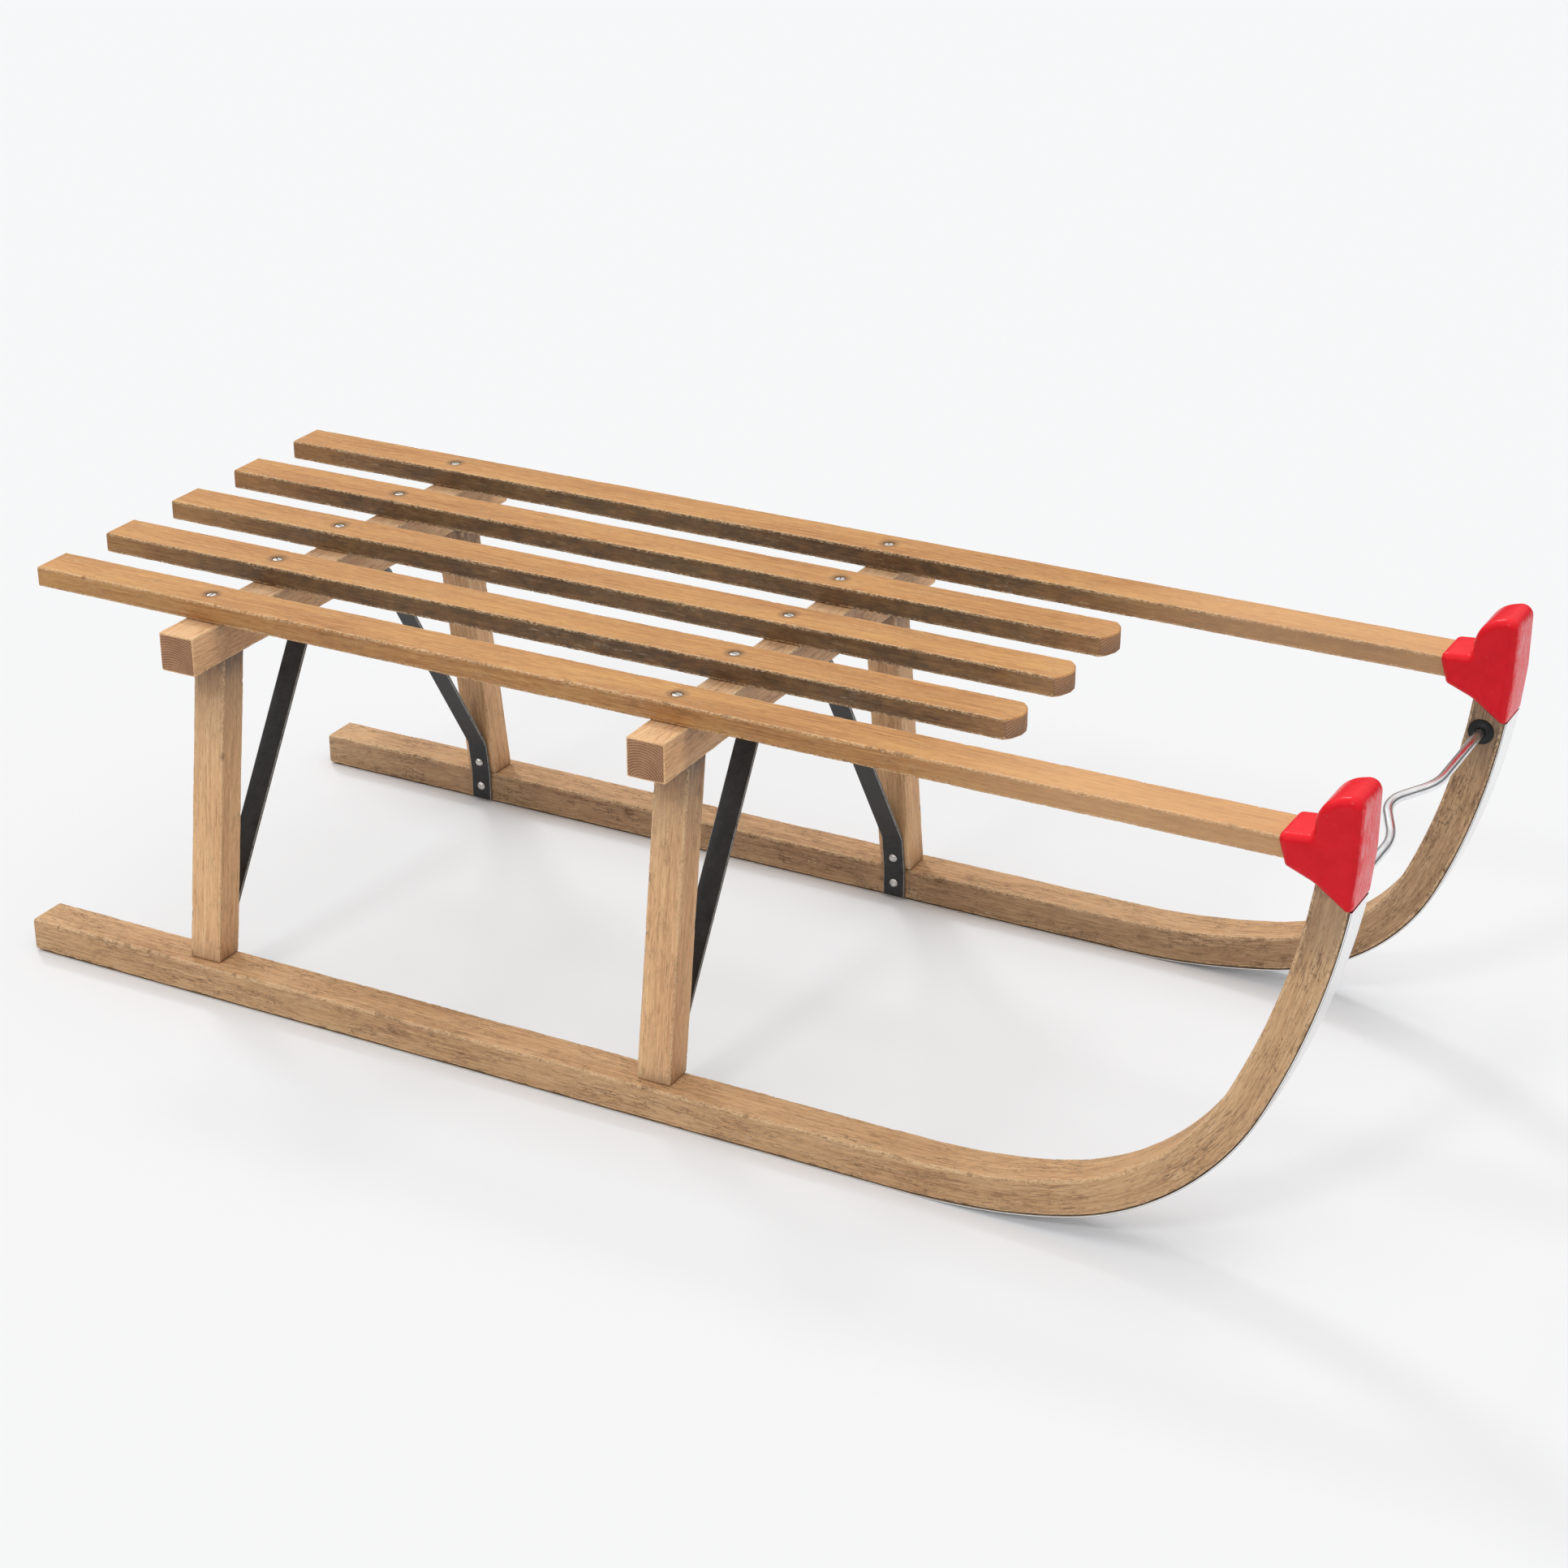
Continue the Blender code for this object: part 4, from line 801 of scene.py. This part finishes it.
def add_slats(wood):
    """Five slats with worn arrises and countersunk holes; the short ones have crowned fronts.

    Painted shade lies on their sides and undersides, most of all where they face each other in the seat.
    """
    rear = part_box("slat_centre")[0][0]
    names = ("outer_right", "inner_right", "centre", "inner_left", "outer_left")
    for number, name in enumerate(names, 1):
        node = "slat_" + name
        low, high, middle, half = box_parts(node)
        start, ends = (0, middle[1], middle[2]), (low[0], high[0])
        path = straight_path(start, (1, 0, 0), (0, 1, 0), (0, 0, 1), *ends)
        outer = {"outer_right": -1, "outer_left": 1}.get(name, 0)

        # Painted shade: all sides, more ahead of the seat and on facing sides in the seat, undersides,
        # faintly the seat's tops
        def painted_shade(run, u, v, on_side):
            seat = rise(run, rear, rear + 0.12) * (1 - rise(run, SEAT_FRONT - 0.12, SEAT_FRONT + 0.05))
            ahead = rise(run, SEAT_FRONT - 0.04, SEAT_FRONT + 0.06)
            inward = 1 - rise(u * outer, -half[1] * 0.5, half[1] * 0.5) if outer else 1.0
            below = (v < 0) * (1 - on_side) * 0.5
            return on_side * (0.30 + 0.26 * ahead + inward * (0.25 + 0.36 * seat)) + below + 0.04 * seat

        piece = timber("ash_" + node, path, half[1:], wood, painted_shade, along=number * 1.3)
        if not outer:
            crown_front(piece, high[0], middle[1], half[1])
        drill(piece, SEAT_HOLE, [Matrix.Translation((x, middle[1], high[2])) for _, x in TRESTLES])
        stand_for(piece, node)


def crown_front(piece, front, middle_y, half):
    """Bring the front of a short slat back on an arc: x moves back by the arc's sagitta at each y."""
    points = points_of(piece)
    radius = (half ** 2 + CROWN ** 2) / (2 * CROWN)
    sagitta = radius - np.sqrt(np.maximum(radius ** 2 - (points[:, 1] - middle_y) ** 2, 0))
    points[:, 0] -= sagitta * np.clip((points[:, 0] - (front - CROWN_FADE)) / CROWN_FADE, 0, 1)
    piece.data.vertices.foreach_set("co", points.ravel())
    piece.data.update()


def add_beams(wood):
    """Two crossbeams with their end grain showing, with painted shade under the slats except near their
    ends.
    """
    for number, name in enumerate(("rear", "front"), 1):
        node = "crossbeam_" + name
        low, high, middle, half = box_parts(node)
        start, ends = (middle[0], 0, middle[2]), (low[1], high[1])
        path = straight_path(start, (0, 1, 0), (-1, 0, 0), (0, 0, 1), *ends)

        # Painted shade: darker along the beam under the seat, most high on its sides just under the
        # slats
        def painted_shade(run, u, v, on_side):
            inside = 1 - rise(np.abs(run), high[1] - 0.030, high[1] - 0.015)
            under = rise(v, half[2] - 0.012, half[2]) * on_side
            return inside * (0.30 + 0.25 * under)

        piece = timber("ash_" + node, path, half[[0, 2]], wood, painted_shade, along=9 + number * 1.7)
        stand_for(piece, node)


def add_legs(wood):
    """Four splayed legs, cut level at top and bottom, with painted shade at the foot and under the
    crossbeam.
    """
    # Painted shade: strong just under the crossbeam and fading over about 3 cm, and a narrow band at the
    # foot
    def painted_shade(run, u, v, on_side):
        top = np.exp((run - LEG_HEIGHT) / 0.030)
        foot = np.exp(-run / 0.008)
        return 1.05 * top + 0.50 * foot

    for end, x in TRESTLES:
        for side, name in SIDES:
            node = f"leg_{end}_{name}"
            start = (x, side * LEG_BOTTOM_Y, LEG_BOTTOM)
            slant = (0.0, -side * math.tan(LEG_SPLAY), 1.0)
            path = straight_path(start, slant, (side, 0, 0), (0, side, 0), 0.0, LEG_HEIGHT)
            half = (LEG_WIDTH / 2, LEG_DEPTH / 2)
            along = chance.uniform(20, 40)
            piece = timber("ash_" + node, path, half, wood, painted_shade, wear=60, along=along)
            stand_for(piece, node)


def add_runners(wood):
    """Two bent runners, cut level under the slats, with painted shade on them, most inside and under the
    bumpers.
    """
    half = (RUNNER_WIDTH / 2, RUNNER_HEIGHT / 2)
    run = eased(-RUNNER_REAR, RUN_END, spacing=0.0014, edge=0.0015)
    for side, name in SIDES:
        node = "runner_" + name

        # Painted shade: on the sides, most on the inner ones, on the undersides, and on the horn's top
        # under the bumper
        def painted_shade(run, u, v, on_side):
            inner = rise(-u * side, 0, half[0])
            horn = rise(run, RUN_END - 0.075, RUN_END - 0.030)
            below = (v < 0) * (1 - on_side) * 0.5
            return on_side * (0.12 + 0.25 * inner) + below + 0.40 * horn

        worn = {"wear": 140, "edge": 0.0014, "depth": 0.0010, "along": 50 + 5 * side}
        piece = timber("ash_" + node, runner_path(run, side), half, wood, painted_shade, **worn)
        stand_for(piece, node)


# Lathe work: screws and bushes


def turned(profile, sides=48, hollow=False):
    """Points and faces of a profile (radius, height) turned round Z: x = r cos t, y = r sin t, z = h."""
    angle = np.linspace(0, 2 * math.pi, sides, endpoint=False)
    radius, height = np.array(profile).T
    flat = (np.outer(radius, np.cos(angle)), np.outer(radius, np.sin(angle)))
    points = np.stack((*flat, np.outer(height, np.ones(sides))), -1)
    faces = skin(len(profile), sides, hollow)[:, ::-1].tolist()
    if not hollow:
        faces += [face[::-1] for face in end_faces(len(profile), sides)]
    return points.reshape(-1, 3), faces


def placed(points, place):
    """Points moved by a 4 x 4 matrix."""
    matrix = np.array(place)
    return points @ matrix[:3, :3].T + matrix[:3, 3]


def drill(piece, profile, places):
    """Cut a turned profile out of a piece at each place."""
    points, faces = turned(profile, 40)
    copies = [placed(points, place) for place in places]
    shifted = [[index + k * len(points) for index in face] for k in range(len(places)) for face in faces]
    bite(piece, mesh_piece("drill", np.concatenate(copies), shifted))


def block(name, low, high):
    """A plain block, to cut with."""
    x, y, z = np.meshgrid(*zip(low, high), indexing="ij")
    points = np.stack((x, y, z), -1).reshape(-1, 3)
    faces = [(0, 1, 3, 2), (4, 6, 7, 5), (0, 4, 5, 1), (2, 3, 7, 6), (0, 2, 6, 4), (1, 5, 7, 3)]
    return mesh_piece(name, points, faces)


def towards(origin, outward):
    """A frame at a point whose Z axis is a given direction."""
    turn = Vector((0, 0, 1)).rotation_difference(Vector(outward)).to_matrix().to_4x4()
    return Matrix.Translation(Vector(origin)) @ turn


def slotted(profile, head_top):
    """Points and faces of a screw whose slot is sawn along X."""
    blank = mesh_piece("screw_blank", *turned(profile))
    low = (-0.008, -SLOT_WIDTH / 2, head_top - SLOT_DEPTH)
    bite(blank, block("saw", low, (0.008, SLOT_WIDTH / 2, head_top + 0.004)))
    points = points_of(blank)
    faces = [list(face.vertices) for face in blank.data.polygons]
    bpy.data.objects.remove(blank, do_unlink=True)
    return points, faces


def countersunk(head, shank, length):
    """Profile of a countersunk screw with a softened rim, its head's face at z = 0."""
    rim = [(head - 0.0001, -0.00008), (head, -0.0002), (head - 0.0001, -0.0004)]
    body = [(shank, -0.0004 - head + shank), (shank, -length + 2 * shank), (0.0002, -length)]
    return [(0.0002, 0.0), (head - 0.0004, 0.0)] + rim + body


def domed(head, height, shank, length):
    """Profile of a round-headed screw: a cap of a sphere on a shank."""
    ball = (head ** 2 + height ** 2) / (2 * height)
    swing = np.linspace(0.06, 1, 9) * math.asin(head / ball)
    cap = list(zip(ball * np.sin(swing), ball * np.cos(swing) - ball + height))
    seat = [(head - 0.0001, -0.0), (shank, -0.00001)]
    return cap + seat + [(shank, -length + 2 * shank), (0.0002, -length)]


def add_screw(node, screw, place, turn, metal):
    """One screw in place of a CAD screw, its slot turned by an angle in degrees."""
    points = placed(screw[0], place @ turns((turn, "Z")))
    piece = mesh_piece("steel_" + node, points, screw[1], metal)
    stand_for(piece, node)


def add_screws(metal):
    """Countersunk screws in the slats and shoes, round-headed ones in the braces."""
    seat = slotted(countersunk(*SEAT_SCREW), 0.0)
    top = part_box("slat_centre")[1][2] - 0.0004
    for row in range(-2, 3):
        for end, x in TRESTLES:
            place = Matrix.Translation((x, row * SLAT_PITCH, top))
            add_screw(f"seat_screw_{end}_{row + 3}", seat, place, chance.uniform(0, 180), metal)
    shoe = slotted(countersunk(*SHOE_SCREW), 0.0)
    for _, side in SIDES:
        for number in range(1, 5):
            node = f"shoe_screw_{side}_{number}"
            x, y, _ = middle_of(node)
            add_screw(node, shoe, towards((x, y, 0.0002), (0, 0, -1)), chance.uniform(0, 180), metal)
    brace = slotted(domed(*BRACE_SCREW), BRACE_SCREW[1])
    stack = 2 * GAP + BRACE_THICKNESS
    inner = RUNNER_INNER_Y - UPPER_SCREW * math.tan(LEG_SPLAY)
    for end, x in TRESTLES:
        for side, name in SIDES:
            low = towards((x, side * (RUNNER_INNER_Y - stack), RUNNER_AXIS), (0, -side, 0))
            square = np.array((0.0, -side * math.cos(LEG_SPLAY), -math.sin(LEG_SPLAY)))
            place = np.array((x, side * inner, LEG_BOTTOM + UPPER_SCREW))
            high = towards(place + square * stack, square)
            add_screw(f"brace_screw_{end}_{name}_low", brace, low, 88.0, metal)
            add_screw(f"brace_screw_{end}_{name}_high", brace, high, 35.0, metal)
            under = towards((x, side * TOP_SCREW_Y, BEAM_BOTTOM - stack), (0, 0, -1))
            add_screw(f"brace_screw_{end}_top_{name}", brace, under, 60.0, metal)


def add_bushes(rubber):
    """Two rubber bushes: a closed profile with a flange and a lip round its bore, turned on its side."""
    bore, body, flange = 0.0033, 0.0052, 0.0080
    thick, lip, depth = 0.0017, 0.0025, 0.0125
    profile = [(bore, lip - 0.0002), (bore + 0.0002, lip), (body - 0.0003, lip), (body, lip - 0.0002)]
    profile += [(body + 0.0008, thick), (flange - 0.0008, thick), (flange - 0.0003, thick - 0.0002)]
    profile += [(flange, thick - 0.0007), (flange, -0.0005), (body, -0.0005)]
    points, faces = turned(profile + [(body, -depth), (bore, -depth)], 64, hollow=True)
    for side, name in SIDES:
        low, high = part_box("bush_" + name)
        face = low[1] + lip if side > 0 else high[1] - lip
        place = towards((BAR_AXIS[0], face, BAR_AXIS[2]), (0, -side, 0))
        piece = mesh_piece("rubber_bush_" + name, placed(points, place), faces, rubber)
        stand_for(piece, "bush_" + name)


# Bent metal


def fillet(corner, before, after, radius, step, least):
    """Points and directions of the arc that rounds a corner between two ways, in steps of an angle.

    It starts radius * tan(turn / 2) before the corner; a point on it is its centre less the signed
    radius along the left normal of its way.
    """
    left = np.array((-before[1], before[0]))
    turn = math.atan2(left @ after, before @ after)
    side = math.copysign(radius, turn)
    centre = corner - before * radius * math.tan(abs(turn) / 2) + side * left
    angle = np.linspace(0, turn, max(least, math.ceil(abs(turn) / step) + 1))
    way = np.outer(np.cos(angle), before) + np.outer(np.sin(angle), left)
    return centre - side * np.stack((-way[:, 1], way[:, 0]), 1), way


def bent_line(corners, radii, step):
    """Points and directions of a flat path whose inner corners are arcs of the given radii."""
    corners = np.array(corners, float)
    ways = np.diff(corners, axis=0)
    ways /= np.linalg.norm(ways, axis=1)[:, None]
    arcs = [fillet(*corner, step, 3) for corner in zip(corners[1:-1], ways, ways[1:], radii)]
    points, going = zip((corners[:1], ways[:1]), *arcs, (corners[-1:], ways[-1:]))
    return np.concatenate(points), np.concatenate(going)


def bar_section(half_u, half_v, radius):
    """Ring of a flat bar with rounded arrises, and how much each point is on one: half of it, twice."""
    turn = np.radians(np.linspace(0, 90, 5))
    rising, falling = radius * (1 - np.cos(turn)), radius * (1 - np.sin(turn))
    reach = half_u - radius * 2.2
    u = np.concatenate((half_u - rising, (reach, 0, -reach), falling - half_u))
    v = np.concatenate((half_v - falling, (half_v,) * 3, half_v - rising))
    half = np.stack((u, v), 1)
    arc = [0.6, 1.0, 1.0, 1.0, 0.6]
    return np.concatenate((half, -half)), np.array((arc + [0.0] * 3 + arc) * 2)


def metal_bar(name, section, arris, path, metal):
    """A bar: one section carried along a path, with its ends closed."""
    shape = (len(path[0]), len(section))
    faces = skin(*shape).tolist() + end_faces(*shape)
    return swept(name, np.broadcast_to(section, (*shape, 2)), path, faces, metal, arris=arris)


def add_shoes(steel):
    """Steel strips under the runners and up the fronts of the horns."""
    last = run_at_height(HORN_TOP - SHOE_TOP_DROP)
    run = np.arange(-RUNNER_REAR + SHOE_REAR_SETBACK, last, 0.004)
    run = np.append(run[:-1], last)
    section, arris = bar_section(RUNNER_WIDTH / 2, SHOE_THICKNESS / 2, 0.0003)
    for side, name in SIDES:
        origin, across, up, _ = runner_path(run, side)
        origin = origin - up * (RUNNER_HEIGHT / 2 + GAP + SHOE_THICKNESS / 2)
        piece = metal_bar("steel_shoe_" + name, section, arris, (origin, across, up, run), steel)
        spots = (middle_of(f"shoe_screw_{name}_{number}") for number in range(1, 5))
        places = [towards((x, y, 0.0), (0, 0, -1)) for x, y, _ in spots]
        drill(piece, SHOE_HOLE, places)
        stand_for(piece, "shoe_" + name)


def add_braces(iron):
    """Band iron arches from foot to foot, flat under the crossbeams."""
    stack = GAP + BRACE_THICKNESS / 2
    slant = stack / math.cos(LEG_SPLAY)
    foot_y = RUNNER_INNER_Y - stack
    half = [
        (foot_y, SHOE_THICKNESS + GAP + BRACE_FOOT),
        (foot_y, LEG_BOTTOM - (slant - stack) / math.tan(LEG_SPLAY)),
        (RUNNER_INNER_Y - BRACE_KNEE * math.tan(LEG_SPLAY) - slant, LEG_BOTTOM + BRACE_KNEE),
        (BRACE_TOP, BEAM_BOTTOM - stack),
    ]
    corners = [(-y, z) for y, z in half] + half[::-1]
    line, going = bent_line(corners, BRACE_BENDS + BRACE_BENDS[::-1], math.radians(3))
    run = np.concatenate(([0.0], np.cumsum(np.linalg.norm(np.diff(line, axis=0), axis=1))))
    section, arris = bar_section(BRACE_WIDTH / 2, BRACE_THICKNESS / 2, 0.0004)
    for end, x in TRESTLES:
        origin = np.column_stack((np.full(len(line), x), line))
        across = np.tile((1.0, 0.0, 0.0), (len(line), 1))
        up = np.column_stack((np.zeros(len(line)), going[:, 1], -going[:, 0]))
        piece = metal_bar("iron_brace_" + end, section, arris, (origin, across, up, run), iron)
        stand_for(piece, "brace_" + end)


def add_pull_bar(metal):
    """A 6 mm rod between the horns with a soft notch for the rope, bent back and a little up."""
    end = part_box("pull_bar")[1][1]
    depth = NOTCH_DEPTH + NOTCH_RADIUS * (1 / math.cos(NOTCH_LEAN) - 1)
    foot = depth / math.tan(NOTCH_LEAN)
    corners = [(-end, 0.0), (-foot, 0.0), (0.0, depth), (foot, 0.0), (end, 0.0)]
    radii = (SHOULDER_RADIUS, NOTCH_RADIUS, SHOULDER_RADIUS)
    line, going = bent_line(corners, radii, math.radians(1.5))
    back = np.array((-math.cos(NOTCH_TILT), 0.0, math.sin(NOTCH_TILT)))
    across = np.tile((math.sin(NOTCH_TILT), 0.0, math.cos(NOTCH_TILT)), (len(line), 1))
    sideways = np.array((0.0, 1.0, 0.0))
    origin = BAR_AXIS + np.outer(line[:, 0], sideways) + np.outer(line[:, 1], back)
    up = np.outer(going[:, 1], sideways) - np.outer(going[:, 0], back)
    angle = np.linspace(0, 2 * math.pi, 40, endpoint=False)
    section = np.stack((np.cos(angle), np.sin(angle)), 1) * BAR_RADIUS
    piece = metal_bar("chrome_pull_bar", section, np.zeros(40), (origin, across, up, line[:, 0]), metal)
    stand_for(piece, "pull_bar", BAR)


# Moulded bumpers


def closed_outline(corners, inset, step):
    """A counter-clockwise outline with filleted corners (x, z, radius), drawn in by an inset.

    Each corner moves in along the sum of its two inward normals over one plus their product; a fillet
    shrinks by the inset where the outline is convex and grows where it is hollow.
    """
    spots = np.array([corner[:2] for corner in corners])
    ways = np.roll(spots, -1, axis=0) - spots
    ways /= np.linalg.norm(ways, axis=1)[:, None]
    inward = np.stack((-ways[:, 1], ways[:, 0]), 1)
    outline = []
    for k, (_, _, radius) in enumerate(corners):
        before, after = ways[k - 1], ways[k]
        drawn = spots[k] + (inward[k - 1] + inward[k]) * inset / (1 + before @ after)
        bend = max(radius - math.copysign(inset, inward[k - 1] @ after), 0.0004)
        outline.append(fillet(drawn, before, after, bend, step, 2)[0])
    return np.concatenate(outline)


def add_bumpers(plastic):
    """Two moulded bumpers: a side outline whose edges are drawn in on quarter circles, with sockets."""
    corners = [(x + REAR_X, z, radius) for x, z, radius in BUMPER_OUTLINE]
    angle = np.linspace(0, math.pi / 2, 10)
    y = BUMPER_HALF - BUMPER_EDGE * (1 - np.cos(angle))
    inset = BUMPER_EDGE * (1 - np.sin(angle))
    flank = BUMPER_EDGE + 0.0006
    y = np.concatenate(([BUMPER_HALF], y, -y[::-1], [-BUMPER_HALF]))
    inset = np.concatenate(([flank], inset, inset[::-1], [flank]))
    run = np.linspace(run_at_height(SOCKET_FOOT), RUN_END + 2 * GAP, 24)
    corner_signs = np.array([(1, 1), (-1, 1), (-1, -1), (1, -1)])
    horn = corner_signs * (RUNNER_WIDTH / 2 + GAP, RUNNER_HEIGHT / 2 + GAP)
    outlines = [closed_outline(corners, drawn, math.radians(6)) for drawn in inset]
    for side, name in SIDES:
        across = side * 2 * SLAT_PITCH + y
        rings = [np.insert(outline, 1, place, axis=1) for outline, place in zip(outlines, across)]
        count, sides = len(rings), len(rings[0])
        faces = skin(count, sides).tolist() + end_faces(count, sides)
        piece = mesh_piece("plastic_bumper_" + name, np.concatenate(rings), faces, plastic)
        low, high = box_parts("slat_outer_" + name)[:2]
        low = np.maximum(low - GAP, (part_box("bumper_" + name)[0][0] - 0.005, -1, -1))
        bite(piece, block("slat_socket", low, high + GAP))
        bite(piece, metal_bar("horn_socket", horn, np.zeros(4), runner_path(run, side), None))
        stand_for(piece, "bumper_" + name)


add_camera()
add_floor()
add_light()

# Each wood's grime, cracks and roughness differ with where it sits
add_slats(ash_wood("lacquered_ash", SLAT_TONES, 0.36, 0.25, 0.38, seat=True))
frame_ash = ash_wood("plain_ash", FRAME_TONES, 0.50, 0.35, 0.42)
add_beams(frame_ash)
add_legs(frame_ash)
add_runners(ash_wood("weathered_ash", RUNNER_TONES, 0.80, 0.90, 0.48))
add_shoes(polished_steel())
add_braces(painted_iron())
add_screws(zinc_plate())
add_bushes(black_rubber())
add_pull_bar(chrome())
add_bumpers(red_polyethylene())
